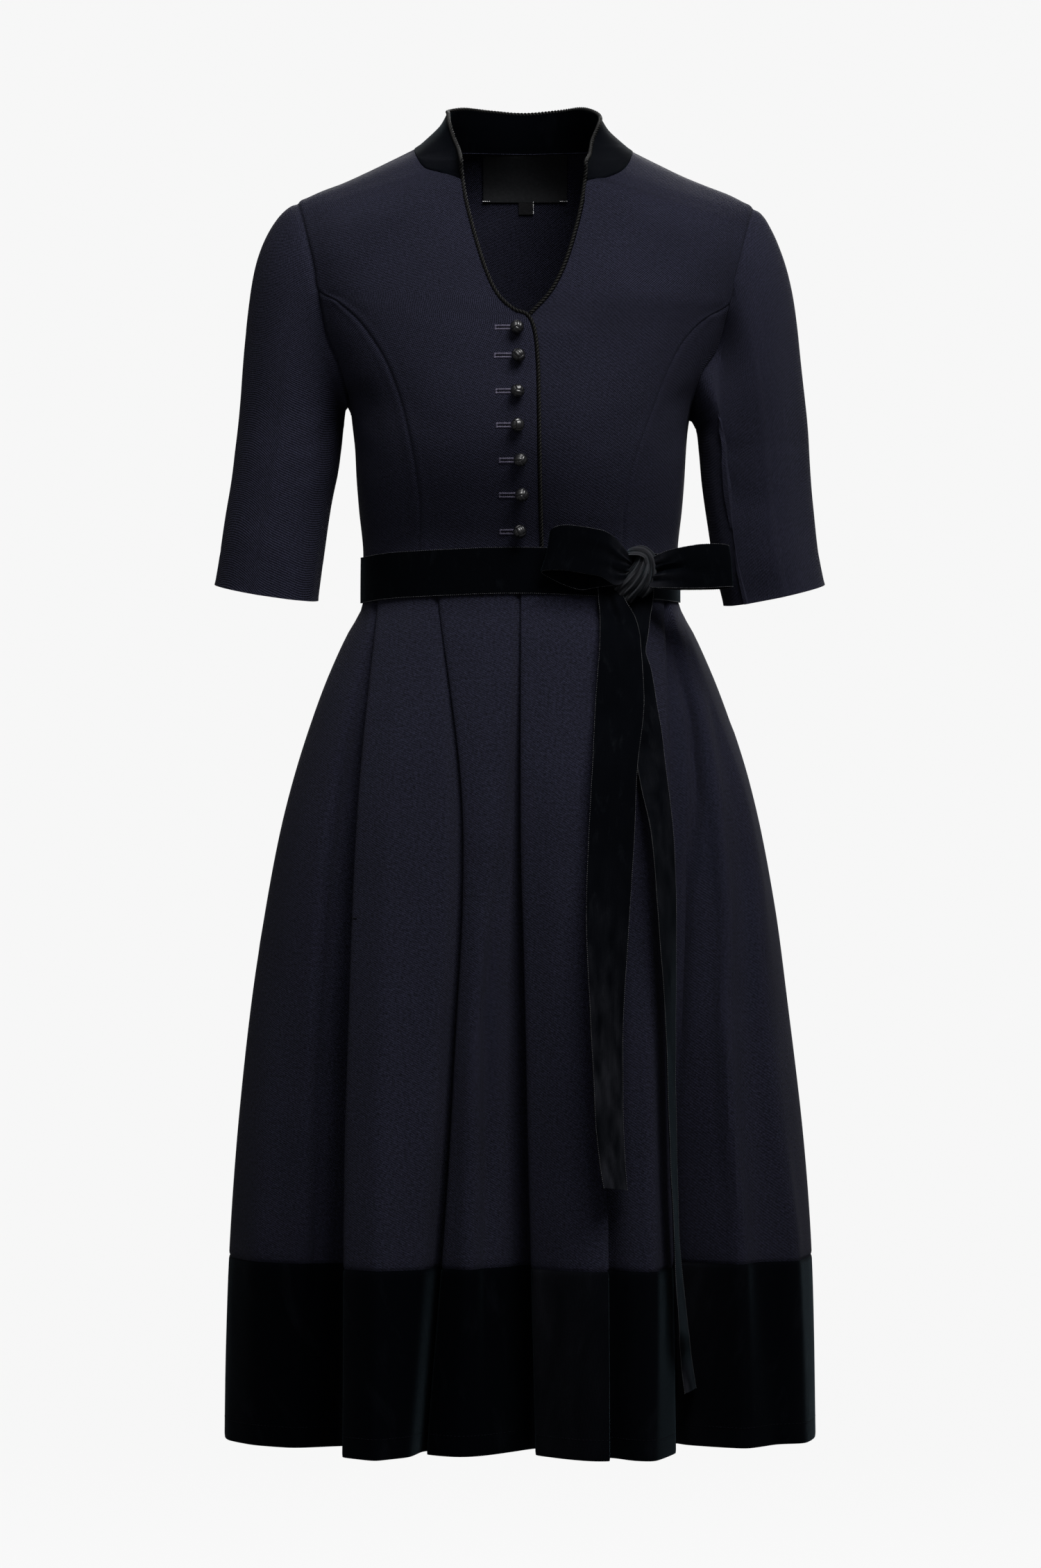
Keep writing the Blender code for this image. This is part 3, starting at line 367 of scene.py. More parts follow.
def plainMaterial(name, dark, light, roughness, scale, specular):
    # Thread, cord and tape: two close tones of yarn
    material, tree, shader = startMaterial(name)
    place = addNode(tree, "ShaderNodeTexCoord", (-900, 0)).outputs["Object"]
    yarn = clothNoise(tree, place, (scale, 2.0), (-700, 0))
    relief = addNode(tree, "ShaderNodeBump", (-400, -200), Strength=0.6, Distance=0.0002, Height=yarn)
    look = {
        "Base Color": mixColour(tree, yarn, (*dark, 1), (*light, 1), (-400, 100)),
        "Normal": relief.outputs["Normal"],
        "Roughness": roughness,
        "Specular IOR Level": specular,
    }
    fillSockets(tree, shader, look)
    return material


twillGroup = buildTwillGroup()
napGroup = buildNapGroup()
wool = (0.6, 0.62, 0.8)
pile = (0.4, 0.6, 0.72)
twillFinish = (0.8, 0.0006), (0.012, 0.5, wool), 0.06
velvetFinish = (0.35, 0.0003), (0.03, 0.3, pile)
skirtWeave = {"Rib Pitch": 0.0016, "Slope": 1.25, "Depth": 1.25, "Slub": 1.9}
ribbonNap = {"Brushed": (0.0008, 0.0012, 0.0019, 1), "Patch Size": 110.0, "Cover": 0.57}
# the knot's velvet is a lighter copy of the ribbon's, painted sheen on the knot's wrap and band
knotSheenNap = {
    "Deep": (0.0008, 0.0009, 0.0013, 1),
    "Brushed": (0.004, 0.004, 0.005, 1),
    "Painted Sheen": (0.034, 0.0345, 0.039, 1),
    "Patch Size": 420.0,
    "Streak": (0.12, 1.0, 1.0),
}
materials = {
    "twill": clothMaterial("twillCloth", twillGroup, {"Depth": 1.25}, *twillFinish),
    "skirtTwill": clothMaterial("skirtTwillCloth", twillGroup, skirtWeave, *twillFinish),
    "velvet": clothMaterial("velvetPile", napGroup, {}, *velvetFinish, 0.015),
    "ribbon": clothMaterial("ribbonPile", napGroup, ribbonNap, *velvetFinish, 0.02),
    "knotSheenPile": clothMaterial("knotSheenPile", napGroup, knotSheenNap, (0.7, 0.0004), (0.09, 0.35, pile), 0.04),
}
threads = {
    # name, dark tone, light tone, roughness, noise scale, specular
    "cord": ("twistedCord", (0.0006, 0.0006, 0.0006), (0.0038, 0.0037, 0.0034), 0.6, 900.0, 0.1),
    "knot": ("buttonCord", (0.0008, 0.0008, 0.0012), (0.004, 0.004, 0.0055), 0.32, 1500.0, 0.5),
    "selvedge": ("selvedgeThread", (0.016, 0.017, 0.020), (0.07, 0.07, 0.075), 0.6, 1200.0, 0.2),
    "silk": ("buttonholeSilk", (0.022, 0.020, 0.036), (0.075, 0.068, 0.105), 0.45, 1500.0, 0.3),
    "tack": ("tackThread", (0.45, 0.45, 0.47), (0.75, 0.75, 0.75), 0.6, 1500.0, 0.4),
    "dark": ("darkThread", (0.001, 0.001, 0.003), (0.004, 0.004, 0.007), 0.8, 1200.0, 0.1),
    "label": ("labelSatin", (0.0046, 0.0050, 0.0058), (0.0100, 0.0105, 0.0118), 0.5, 400.0, 0.13),
    "tab": ("tabTape", (0.0015, 0.0015, 0.002), (0.005, 0.005, 0.006), 0.5, 600.0, 0.15),
}
materials.update((key, plainMaterial(*row)) for key, row in threads.items())
print("materials are made")

# Cloth meshes


def unit(vectors):
    return vectors / np.maximum(np.linalg.norm(vectors, axis=-1, keepdims=True), 1e-9)


def bell(distance, width):
    return np.exp(-((distance / width) ** 2))


def runLengths(points):
    # Length along a line up to each of its points
    return np.concatenate([[0], np.cumsum(np.linalg.norm(np.diff(points, axis=0), axis=1))])


def cellPlaces(cells, perCell, close=()):
    # Fractional places along a grid, with a few more close to both ends
    places = np.linspace(0, cells, cells * perCell + 1)
    return np.unique(np.concatenate([places, [*close, *(cells - value for value in close)]]))


def through(points, places, wraps=False):
    # Smooth curve through the rows of an array, read at fractional places
    count = len(points)
    low = np.clip(np.floor(places).astype(int), 0, count - 1 if wraps else count - 2)
    u = (places - low).reshape((-1,) + (1,) * (points.ndim - 1))
    if wraps:
        before, a, b, after = (points[(low + k) % count] for k in (-1, 0, 1, 2))
    else:
        padded = np.concatenate([2 * points[:1] - points[1:2], points, 2 * points[-1:] - points[-2:-1]])
        before, a, b, after = (padded[low + k] for k in (0, 1, 2, 3))
    leave = (b - before) / 2
    arrive = (after - a) / 2
    start = a * (1 + 2 * u) + leave * u
    end = b * (3 - 2 * u) + arrive * (u - 1)
    return start * (1 - u) ** 2 + end * u**2


def refine(grid, rowPlaces, columnPlaces, wraps=False):
    rows = through(grid, rowPlaces)
    return through(rows.transpose(1, 0, 2), columnPlaces, wraps).transpose(1, 0, 2)


def gridNormals(grid, wraps=False):
    # Outward where rows run up and columns run to the wearer's left on the front
    down = np.gradient(grid, axis=0)
    if wraps:
        wide = np.concatenate([grid[:, -1:], grid, grid[:, :1]], axis=1)
        along = (wide[:, 2:] - wide[:, :-2]) / 2
    else:
        along = np.gradient(grid, axis=1)
    return unit(np.cross(along, down))


def edgeDistance(grid, side):
    # Distance of every point from one side of its grid, along the cloth
    axis = 0 if side in ("low", "high") else 1
    steps = np.linalg.norm(np.diff(grid, axis=axis), axis=2)
    pad = ((1, 0), (0, 0)) if axis == 0 else ((0, 0), (1, 0))
    run = np.pad(np.cumsum(steps, axis=axis), pad)
    if side in ("high", "last"):
        run = (run[-1:] if axis == 0 else run[:, -1:]) - run
    return run


def clothUv(grid):
    across = edgeDistance(grid, "first")
    across -= across[:, [across.shape[1] // 2]]
    return np.stack([across, edgeDistance(grid, "low")], axis=2) * mm


def faceOutwards(mesh, weld=0):
    body = bmesh.new()
    body.from_mesh(mesh)
    if weld:
        bmesh.ops.remove_doubles(body, verts=body.verts, dist=weld)
    bmesh.ops.recalc_face_normals(body, faces=body.faces)
    body.to_mesh(mesh)
    body.free()


def meshObject(name, points, faces, material, uv=None, smoothAngle=40):
    mesh = bpy.data.meshes.new(name)
    mesh.from_pydata((np.asarray(points, float) * mm).tolist(), [], [list(face) for face in faces])
    if uv is not None:
        layer = mesh.uv_layers.new(name="cloth")
        corners = np.empty(len(mesh.loops), int)
        mesh.loops.foreach_get("vertex_index", corners)
        layer.data.foreach_set("uv", np.asarray(uv)[corners].ravel())
    faceOutwards(mesh)
    mesh.shade_smooth()
    mesh.set_sharp_from_angle(angle=math.radians(smoothAngle))
    mesh.materials.append(material)
    return placed(name, mesh)


def shellFaces(rows, columns, wraps):
    count = rows * columns
    faces = gridFaces(rows, columns, wraps)
    faces += [face[::-1] for face in gridFaces(rows, columns, wraps, count)]
    last = columns if wraps else columns - 1
    for j in range(last):
        k = (j + 1) % columns
        for i in (0, rows - 1):
            a, b = i * columns + j, i * columns + k
            faces.append([a, b, count + b, count + a])
    if not wraps:
        for i in range(rows - 1):
            for j in (0, columns - 1):
                a, b = i * columns + j, (i + 1) * columns + j
                faces.append([a, b, count + b, count + a])
    return faces


def clothShell(name, outer, wall, material, wraps=False, inner=None, normals=None):
    # A closed thin wall: the grid is its outer face
    if inner is None:
        normals = gridNormals(outer, wraps) if normals is None else normals
        inner = outer - normals * wall
    rows, columns = outer.shape[:2]
    points = np.concatenate([outer.reshape(-1, 3), inner.reshape(-1, 3)])
    uv = clothUv(outer).reshape(-1, 2)
    return meshObject(name, points, shellFaces(rows, columns, wraps), material, np.concatenate([uv, uv]))


def dress(item, slot, *nodes):
    # Every piece is soft cloth or trim on the one body
    if nodes:
        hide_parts(*nodes)
    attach(item, "root")
    return item


def surfaceFinder(item):
    points = [vert.co / mm for vert in item.data.vertices]
    return BVHTree.FromPolygons(points, [tuple(face.vertices) for face in item.data.polygons])


def foremost(tree, x, height):
    # Depth of the surface that is met first from the front
    return tree.ray_cast((x, -400, height), (0, 1, 0))[0].y


def paintSheen(item, values):
    # Painted sheen, 0 to 1, for the points of the outer face and the inner one behind them
    values = np.clip(np.asarray(values, float).ravel(), 0, 1)
    layer = item.data.attributes.new("painted_sheen", "FLOAT", "POINT")
    layer.data.foreach_set("value", np.concatenate([values, values]))


def declareCloth(grid, wraps=False):
    # The cut is the cloth laid flat: its longest row by its longest column
    wide = np.concatenate([grid, grid[:, :1]], axis=1) if wraps else grid
    width = np.linalg.norm(np.diff(wide, axis=1), axis=2).sum(axis=1).max() * mm
    length = np.linalg.norm(np.diff(wide, axis=0), axis=2).sum(axis=0).max() * mm
    a, b, c, d = wide[:-1, :-1], wide[:-1, 1:], wide[1:, 1:], wide[1:, :-1]
    area = np.linalg.norm(np.cross(c - a, d - b), axis=2).sum() / 2 * mm * mm
    width, length = round(width + 0.0005, 3), round(length + 0.0005, 3)
    area = round(min(area, width * length), 5)


def sewn(name, grid, wall, material, slot, held, *nodes, restsOn=(), wraps=False, lit=None, **inside):
    # A piece of cloth: its two faces, its cut, its painted sheen and what it stands for
    item = clothShell(name, grid, wall, materials[material], wraps, **inside)
    declareCloth(grid, wraps)
    if lit is not None:
        paintSheen(item, lit)
    return dress(item, slot, *nodes)


def softNoise(points, size, seed):
    values = [noise.noise(Vector(point) / size + Vector((seed, 0, 0))) for point in points.reshape(-1, 3)]
    return np.array(values).reshape(points.shape[:-1])


def softRelief(points, shape):
    return shape["height"] * softNoise(points * shape.get("stretch", 1), shape["size"], shape["seed"])


def creaseRelief(points, table, face=None):
    # Rows: line seen from the front as (x, z) points, width, height. Height fades to the line's ends.
    relief = np.zeros(points.shape[:-1])
    flat = points[..., [0, 2]]
    for line, width, height in table:
        line = np.array(line, float)
        lengths = runLengths(line)
        best = np.full(relief.shape, 1e9)
        share = np.zeros(relief.shape)
        for start, end, run in zip(line[:-1], line[1:], lengths[:-1]):
            way = end - start
            t = np.clip(((flat - start) @ way) / (way @ way), 0, 1)
            distance = np.linalg.norm(flat - start - t[..., None] * way, axis=-1)
            nearer = distance < best
            best = np.where(nearer, distance, best)
            share = np.where(nearer, (run + t * np.linalg.norm(way)) / lengths[-1], share)
        relief += height * bell(best, width) * np.sin(np.pi * np.clip(share, 0.02, 0.98)) ** 0.7
    if face is not None:
        relief *= (points[..., 1] * face) > 0
    return relief


# Rows of stitches and twisted cord along a path


def pathObject(name, points, closed=False):
    curve = bpy.data.curves.new(name, "CURVE")
    curve.dimensions = "3D"
    spline = curve.splines.new("POLY")
    spline.points.add(len(points) - 1)
    for place, point in zip(spline.points, points):
        place.co = (*(float(c) * mm for c in point), 1)
    spline.use_cyclic_u = closed
    return placed(name, curve)


def newTree(name, inputs):
    tree = bpy.data.node_groups.new(name, "GeometryNodeTree")
    tree.interface.new_socket("Geometry", in_out="INPUT", socket_type="NodeSocketGeometry")
    addInputs(tree, inputs)
    tree.interface.new_socket("Geometry", in_out="OUTPUT", socket_type="NodeSocketGeometry")
    return treeEnds(tree, 1100)


def finishTree(tree, given, result, made):
    real = addNode(tree, "GeometryNodeRealizeInstances", (700, 0), Geometry=made).outputs[0]
    paint = addNode(tree, "GeometryNodeSetMaterial", (900, 0), Geometry=real, Material=given["Material"])
    plug(tree, result[0], paint.outputs[0])
    return tree


def evenPoints(tree, given, spacing):
    settings = {"mode": "LENGTH", "Curve": given["Geometry"], "Length": given[spacing]}
    return addNode(tree, "GeometryNodeResampleCurve", (-600, 200), **settings).outputs[0]


def crossed(tree, first, second, place):
    node = addNode(tree, "ShaderNodeVectorMath", place, operation="CROSS_PRODUCT", Vector=first)
    plug(tree, node.inputs[1], second)
    return node.outputs[0]


def buildStitchTree():
    # Short threads along a path, or across it
    sizes = {"Spacing": 0.001, "Length": 0.0008, "Radius": 0.0002, "Across": 0.0, "Unevenness": 0.12}
    tree, given, result = newTree("stitchRow", {**sizes, "Material": None})
    even = evenPoints(tree, given, "Spacing")
    size = {"Vertices": 5, "Radius": given["Radius"], "Depth": given["Length"]}
    thread = addNode(tree, "GeometryNodeMeshCylinder", (-600, -200), **size).outputs["Mesh"]
    tangent = addNode(tree, "GeometryNodeInputTangent", (-600, -500)).outputs[0]
    across = crossed(tree, tangent, (0, 1, 0), (-400, -500))
    way = addNode(tree, "ShaderNodeMix", (-200, -500), data_type="VECTOR")
    for number, value in ((0, given["Across"]), (4, tangent), (5, across)):
        plug(tree, way.inputs[number], value)
    turn = addNode(tree, "FunctionNodeAlignRotationToVector", (0, -400), axis="Z", Vector=way.outputs[1])
    uneven = addNode(tree, "FunctionNodeRandomValue", (0, -700), data_type="FLOAT", Seed=7)
    for number, operation in ((2, "SUBTRACT"), (3, "ADD")):
        (calculate,) = maths(tree, operation)
        plug(tree, uneven.inputs[number], calculate(1.0, given["Unevenness"]))
    settings = {"Points": even, "Instance": thread, "Rotation": turn.outputs[0], "Scale": uneven.outputs[1]}
    place = addNode(tree, "GeometryNodeInstanceOnPoints", (300, 100), **settings)
    return finishTree(tree, given, result, place.outputs[0])


def buildCordTree():
    # Two plies wound round a path
    sizes = {"Ply Radius": 0.0009, "Offset": 0.00075, "Pitch": 0.006, "Step": 0.0009}
    tree, given, result = newTree("twistedPlies", {**sizes, "Material": None})
    even = evenPoints(tree, given, "Step")
    along = addNode(tree, "GeometryNodeSplineParameter", (-800, -300)).outputs["Length"]
    tangent = addNode(tree, "GeometryNodeInputTangent", (-800, -500)).outputs[0]
    side = addNode(tree, "GeometryNodeInputNormal", (-800, -600)).outputs[0]
    other = crossed(tree, tangent, side, (-600, -600))
    rim = {"Resolution": 7, "Radius": given["Ply Radius"]}
    ring = addNode(tree, "GeometryNodeCurvePrimitiveCircle", (0, -500), **rim).outputs["Curve"]
    joined = addNode(tree, "GeometryNodeJoinGeometry", (500, 0))
    add, times, over, sine, cosine = maths(tree, "ADD", "MULTIPLY", "DIVIDE", "SINE", "COSINE")
    turns = over(along, given["Pitch"])
    for ply in (0, 1):
        angle = times(add(turns, ply / 2), 2 * math.pi)
        total = addNode(tree, "ShaderNodeVectorMath", (0, -300), operation="ADD")
        for number, (way, wave) in enumerate(((side, cosine), (other, sine))):
            reach = {"operation": "SCALE", "Vector": way, "Scale": times(wave(angle), given["Offset"])}
            part = addNode(tree, "ShaderNodeVectorMath", (-200, -300 - 100 * number), **reach)
            plug(tree, total.inputs[number], part.outputs[0])
        shift = {"Geometry": even, "Offset": total.outputs[0]}
        shifted = addNode(tree, "GeometryNodeSetPosition", (100, 200), **shift).outputs[0]
        sweep = {"Curve": shifted, "Profile Curve": ring, "Fill Caps": True}
        swept = addNode(tree, "GeometryNodeCurveToMesh", (300, 200), **sweep)
        plug(tree, joined.inputs[0], swept.outputs[0])
    return finishTree(tree, given, result, joined.outputs[0])


def grown(name, paths, tree, material, values):
    # Runs a tree on each path and keeps the result as one plain mesh
    made = bmesh.new()
    sockets = {item.name: item.identifier for item in tree.interface.items_tree if item.in_out == "INPUT"}
    for points, closed in paths:
        path = pathObject("path", points, closed)
        modifier = path.modifiers.new("grow", "NODES")
        modifier.node_group = tree
        for label, value in {**values, "Material": material}.items():
            modifier[sockets[label]] = value
        bpy.context.view_layer.update()
        result = path.evaluated_get(bpy.context.evaluated_depsgraph_get())
        mesh = bpy.data.meshes.new_from_object(result)
        made.from_mesh(mesh)
        bpy.data.meshes.remove(mesh)
        curve = path.data
        bpy.data.objects.remove(path)
        bpy.data.curves.remove(curve)
    mesh = bpy.data.meshes.new(name)
    bmesh.ops.recalc_face_normals(made, faces=made.faces)
    made.to_mesh(mesh)
    made.free()
    mesh.shade_smooth()
    mesh.materials.clear()
    mesh.materials.append(material)
    return placed(name, mesh)


stitchTree = buildStitchTree()
cordTree = buildCordTree()


def stitched(name, paths, material, slot, thread):
    # thread: spacing, length and radius in metres, how far it lies across the row, unevenness
    sizes = dict(zip(("Spacing", "Length", "Radius", "Across", "Unevenness"), thread))
    return dress(grown(name, paths, stitchTree, materials[material], sizes), slot)


# Measures of the dress in mm

ribbonWall = 1.0
ribbonWidth = 36.0
seamGap = 0.3
cordRadius = 1.6
cordGap = 0.4
# Heights of the horizontal seams
waist = -342.0
beltFoot = -364.0
bandTop = -887.0
hem = -1033.0
# Outer surface of the bodice. Above the underarm the section runs on past the armhole.
bodySquareness = 2.4
bodySections = (
    # height, half width, depth in front, depth behind
    (-372, 127.0, 96, 95),
    (-342, 127.0, 96, 95),
    (-318, 127.0, 96.2, 95),
    (-290, 130.0, 107, 97),
    (-265, 132.0, 117, 100),
    (-235, 134.0, 124, 104),
    (-214, 136.5, 124, 106),
    (-205, 138.0, 123, 107),
    (-194, 144.0, 121, 108),
    (-180, 151.0, 118, 108),
    (-165, 158.0, 115, 108),
    (-125, 177.0, 105, 105),
    (-80, 189.0, 90, 98),
    (-40, 195.0, 76, 90),
    (0, 197.0, 65, 84),
    (40, 197.0, 54, 80),
)
# The shoulder ridge, where front and back meet, as (x from the middle, height)
shoulderRidge = (
    (0, 32), (50, 20), (85, 4.5), (110, -8), (137, -21), (170, -34), (180, -39), (200, -49),
)
ridgeRounding = 60.0
# Seams of each half of the bodice as (x from the middle, height), from the waist up
seams = {
    "right": {
        "side": ((127, -342), (127, -318), (130, -290), (132, -265), (134, -235), (137.9, -202)),
        "princess": (
            (82, -342), (81, -318), (80, -290), (83, -262), (88, -235),
            (95, -206), (105, -178), (116, -158), (131, -138), (148, -123),
        ),
        "armhole": (
            (137.9, -202), (140.5, -191), (146, -172), (156, -147), (162.2, -114), (165, -98), (168, -84),
            (171.5, -70), (174.5, -58), (176.6, -50), (178.2, -45), (179.4, -41.5), (180, None),
        ),
        "edge": (
            (15, -342), (14.8, -318), (14, -290), (13.4, -262), (13, -235), (12.6, -205), (12, -178),
            (9.6, -152), (4.4, -139.3), (-7.1, -134.3), (-20.3, -121), (-30.2, -99), (-38.5, -71.6),
            (-45.2, -44.2), (-48.1, -26.6), (-64, -21), (-77, -16), (-84, -4), (-85.5, None),
        ),
    },
    "left": {
        "side": ((127, -342), (127, -318), (130, -290), (132, -265), (134, -235), (136.6, -213)),
        "princess": (
            (81, -342), (81.5, -318), (82.5, -290), (87.5, -265), (95, -240),
            (105, -213), (116, -184), (128, -160), (141, -144), (152, -135),
        ),
        "armhole": (
            (136.6, -213), (139.2, -199), (146, -179), (159, -158), (168.2, -124), (171.5, -106),
            (175.5, -92), (179, -78), (182.5, -64), (185, -55), (186.6, -49), (187.6, -45), (188, None),
        ),
        "edge": (
            (-14, -342), (-14, -318), (-14, -290), (-14, -262), (-14, -235), (-14, -205), (-14, -178),
            (-9, -158), (-1, -147), (9, -138), (25.7, -119.3), (37.3, -95.6), (45.7, -68),
            (50.7, -46), (53.1, -28.2), (69, -25), (83, -17), (89.5, -4), (90, None),
        ),
    },
}
# Armhole points below the princess seam, edge points under the collar, and along the overlap
armholeBelowPrincess = 4
edgeUnderCollar = 4
edgePlacket = 9
shoulderSteps = 5
sideSteps = 4
backNeckSteps = 8
backNeckHeight = 8.0
# The back's rows run level up to here, and above the underarm turn to the shoulders' spacing
backEvenRows = 8
backTurningRows = 8
# Under the other front, the left front sinks by a wall and a gap from here to here
underlapFrom = 34.0
underlapTo = 17.0
underlapSink = 2.8
# Stand collar, from its front ends to the middle of the back
collarShape = (
    # share of the way, rise, lean to the neck on the right, lean on the left
    (0.00, 13.0, 0.5, 0.5),
    (0.085, 19.0, 17.5, 17.5),
    (0.17, 23.5, 27, 27.5),
    (0.30, 25.0, 27, 26),
    (0.443, 26.7, 26, 25),
    (0.55, 30.3, 22, 23.5),
    (0.68, 31.0, 17.5, 17),
    (0.83, 29.6, 10, 8),
    (1.00, 28.0, 6, 6),
)
collarLevels = (
    # share of the rise, share of the lean
    (0.0, 0.0),
    (0.3, 0.37),
    (0.65, 0.76),
    (1.0, 1.0),
)
neckAxisX = 2.5
# Sleeve outlines seen from the front, as (height, x)
sleeves = {
    "right": {
        "outer": ((-204, 225.7), (-268, 234), (-308, 239.7), (-348, 245.8)),
        "inner": ((-210, 141), (-249, 145.6), (-297, 154), (-335, 159.6), (-361, 163)),
        "underarm": -216,
        "cuff": (-348, -361),
        "cap_leaves": (0.88, -0.47),
    },
    "left": {
        "outer": ((-212, 230.7), (-268, 234.6), (-303, 237.4), (-348, 244.7)),
        "inner": ((-217, 141), (-249, 144.5), (-292, 149.5), (-314, 152), (-351, 160), (-365, 163.5)),
        "underarm": -226,
        "cuff": (-348, -365),
        "cap_leaves": (0.62, -0.47),
    },
}
sleeveCrownSteps = (0.0, 0.14, 0.3, 0.48, 0.7, 1.0)
sleeveTubeSteps = 4
sleeveDepths = (50, 46)
sleeveSwing = 12.0
cuffFrontDrop = 4.0
# How the cap leaves the armhole over the shoulder and under the arm, and how it meets the tube
capLeavesUnder = (0.15, -0.99)
capArrives = (0.09, -1.0)
capLeavingPull = 0.8
capArrivingPull = 1.2
capGap = 0.45
outerUnderarmRise = 6.0
# The skirt's section before it is pleated
skirtSections = (
    # height, half width, depth in front, depth behind, squareness
    (-342, 127.0, 96, 95, 2.4),
    (-364, 127.2, 96.5, 95.5, 2.4),
    (-390, 140.8, 107, 110, 2.38),
    (-419, 154, 117, 122, 2.36),
    (-467, 171.6, 133, 138, 2.32),
    (-526, 188.8, 149, 152, 2.28),
    (-603, 204.5, 164, 165, 2.22),
    (-686, 216, 178, 178, 2.16),
    (-783, 227, 192, 190, 2.1),
    (-887, 234.3, 205, 200, 2.04),
    (-960, 236.7, 211, 206, 2.0),
    (-1033, 237.7, 215, 210, 2.0),
)
# Depth of a folded layer's face under the outer face at the waist
layerDepths = (0.0, 2.9, 3.4)
# How much a fold's way in leans to the side, and where a sharp fold's mitre stops growing
foldLean = 0.25
leastMitre = 0.6
# Lines along the front's cloth, from the right side seam (-X) to the left one. Between the rows of
# a pleat the cloth doubles back on itself. x at four heights; sink is how far the hem lies in.
foldHeights = (-364, -526, -740, -1033)
frontFolds = (
    # line, x at the waist, hip, knee and hem, then layer at the waist and sink at the hem, for each layer
    ("side seam", None, None, None, None, (0, 0)),
    ("side", None, None, None, None, (0, -3)),
    ("side", None, None, None, None, (0, 6)),
    ("brink", -118.5, -151, -167, -179, (0, 26)),
    ("valley", -114, -129, -137, -141, (2, 72)),
    ("inner fold", -92, -104, -108, -110, (2, 92), (1, 88)),
    ("edge", -114, -129, -137, -140, (1, 3), (0, -2)),
    ("crest", -92, -104, -110, -113, (0, -14)),
    ("brink", -70, -58, -66, -86, (0, 24)),
    ("valley", -65, -46, -53, -76, (2, 72)),
    ("inner fold", -43, -26, -32, -52, (2, 86), (1, 82)),
    ("edge", -65, -46, -53, -75, (1, 51), (0, 46)),
    ("crest", -43, -26, -36, -47, (0, 32)),
    ("brink", -5, -12, -27, -28, (0, 48)),
    ("valley", 0, 0, 4, 10, (2, 102)),
    ("inner fold", 22, 24, 28, 34, (2, 114), (1, 110)),
    ("edge", 0, 0, 4, 10.5, (1, 60), (0, 54)),
    ("crest", 22, 24, 30, 37, (0, 21)),
    ("face", 44, 46, 50, 55, (0, 4)),
    ("edge", 65, 67, 68, 70.6, (0, 0), (1, 5)),
    ("inner fold", 44, 46, 46, 44, (1, 34), (2, 38)),
    ("valley", 65, 67, 68, 71, (2, 26)),
    ("brink", 70, 78, 84, 88, (0, -3)),
    ("crest", 95, 98, 100, 104, (0, -14)),
    ("edge", 115, 118.5, 118.5, 123.5, (0, 38), (1, 43)),
    ("inner fold", 95, 98, 96, 96, (1, 98), (2, 102)),
    ("valley", 115, 119, 119, 124, (2, 104)),
    ("crease", 118.5, 137, 127, 129, (0, 88)),
    ("ridge", 120.5, 158, 166, 178, (0, 22)),
    ("trough", 122.5, 170, 186, 203, (0, 20)),
    ("ridge", 124.5, 181, 206, 225, (0, -2)),
    ("side seam", None, None, None, None, (0, 0)),
)
# One half of the back, from the side seam to the middle; the other half mirrors it
backHalfFolds = (
    # the same columns as on the front
    ("side seam", None, None, None, None, (0, 0)),
    ("side", None, None, None, None, (0, 0)),
    ("brink", 109, 141, 164, 184, (0, 12)),
    ("valley", 104, 130, 149, 165, (2, 58)),
    ("inner fold", 82, 107, 124, 138, (2, 72), (1, 68)),
    ("edge", 104, 130, 149, 164, (1, 0), (0, -5)),
    ("crest", 82, 107, 124, 138, (0, -12)),
    ("brink", 51, 66, 76, 86, (0, 16)),
    ("valley", 46, 57, 65, 72, (2, 60)),
    ("inner fold", 24, 34, 40, 46, (2, 74), (1, 70)),
    ("edge", 46, 57, 65, 71, (1, 2), (0, -3)),
    ("crest", 24, 34, 40, 46, (0, -10)),
    ("middle", 0, 0, 0, 0, (0, 6)),
)
# Ribbon round the waist
beltTop = -322.0
beltSideDrop = 4.0
beltClearance = 0.7
# The hanging ends, as (height, left edge x, right edge x): what the ribbon's turn hides runs forwards
tails = {
    "front": (
        (-352, 74, 90.0), (-361, 68, 87), (-380, 64, 93), (-412, 60, 96), (-443, 59, 95),
        (-495, 56.5, 91.5), (-548, 53.5, 89), (-610, 51.5, 85), (-680, 54, 80.5), (-740, 57, 79.5),
        (-785, 59.5, 80.3), (-812, 63, 82), (-820, 64.5, 82.8),
    ),
    "back": (
        (-357, 78, 104), (-375, 76, 102.8), (-404, 75, 99), (-419, 76, 103), (-452, 80, 108.5),
        (-495, 92, 114), (-548, 102, 120), (-610, 107, 122), (-680, 112.5, 121.5), (-755, 115, 121.5),
        (-830, 118, 123), (-887, 120.8, 126), (-935, 123.5, 131.5), (-965, 126.5, 135.5), (-988, 129.5, 139),
    ),
}
tailClearance = {"front": 5.0, "back": 2.2}
tailTurnsFrom = {"front": -361, "back": -455}
tailTurnLength = 120.0
tailMostTurn = 26.0
# A hanging end rests on what lies this far beside it too, and on the skirt below the belt's edge
tailSideReach = 4.0
tailRestTop = -372.0
# Buttons, as (x, height)
buttons = (
    (-2.7, -148), (-1.6, -170.5), (-2.2, -199), (-2.2, -226), (0, -253.5), (1.1, -280.5), (-0.5, -309),
)
# Neck label and size tab inside the back: low x, high x, low height, high height
neckLabel = (-30.5, 38, -31, 8.4)
sizeTab = (-1.5, 10.5, -40.8, -30.2)


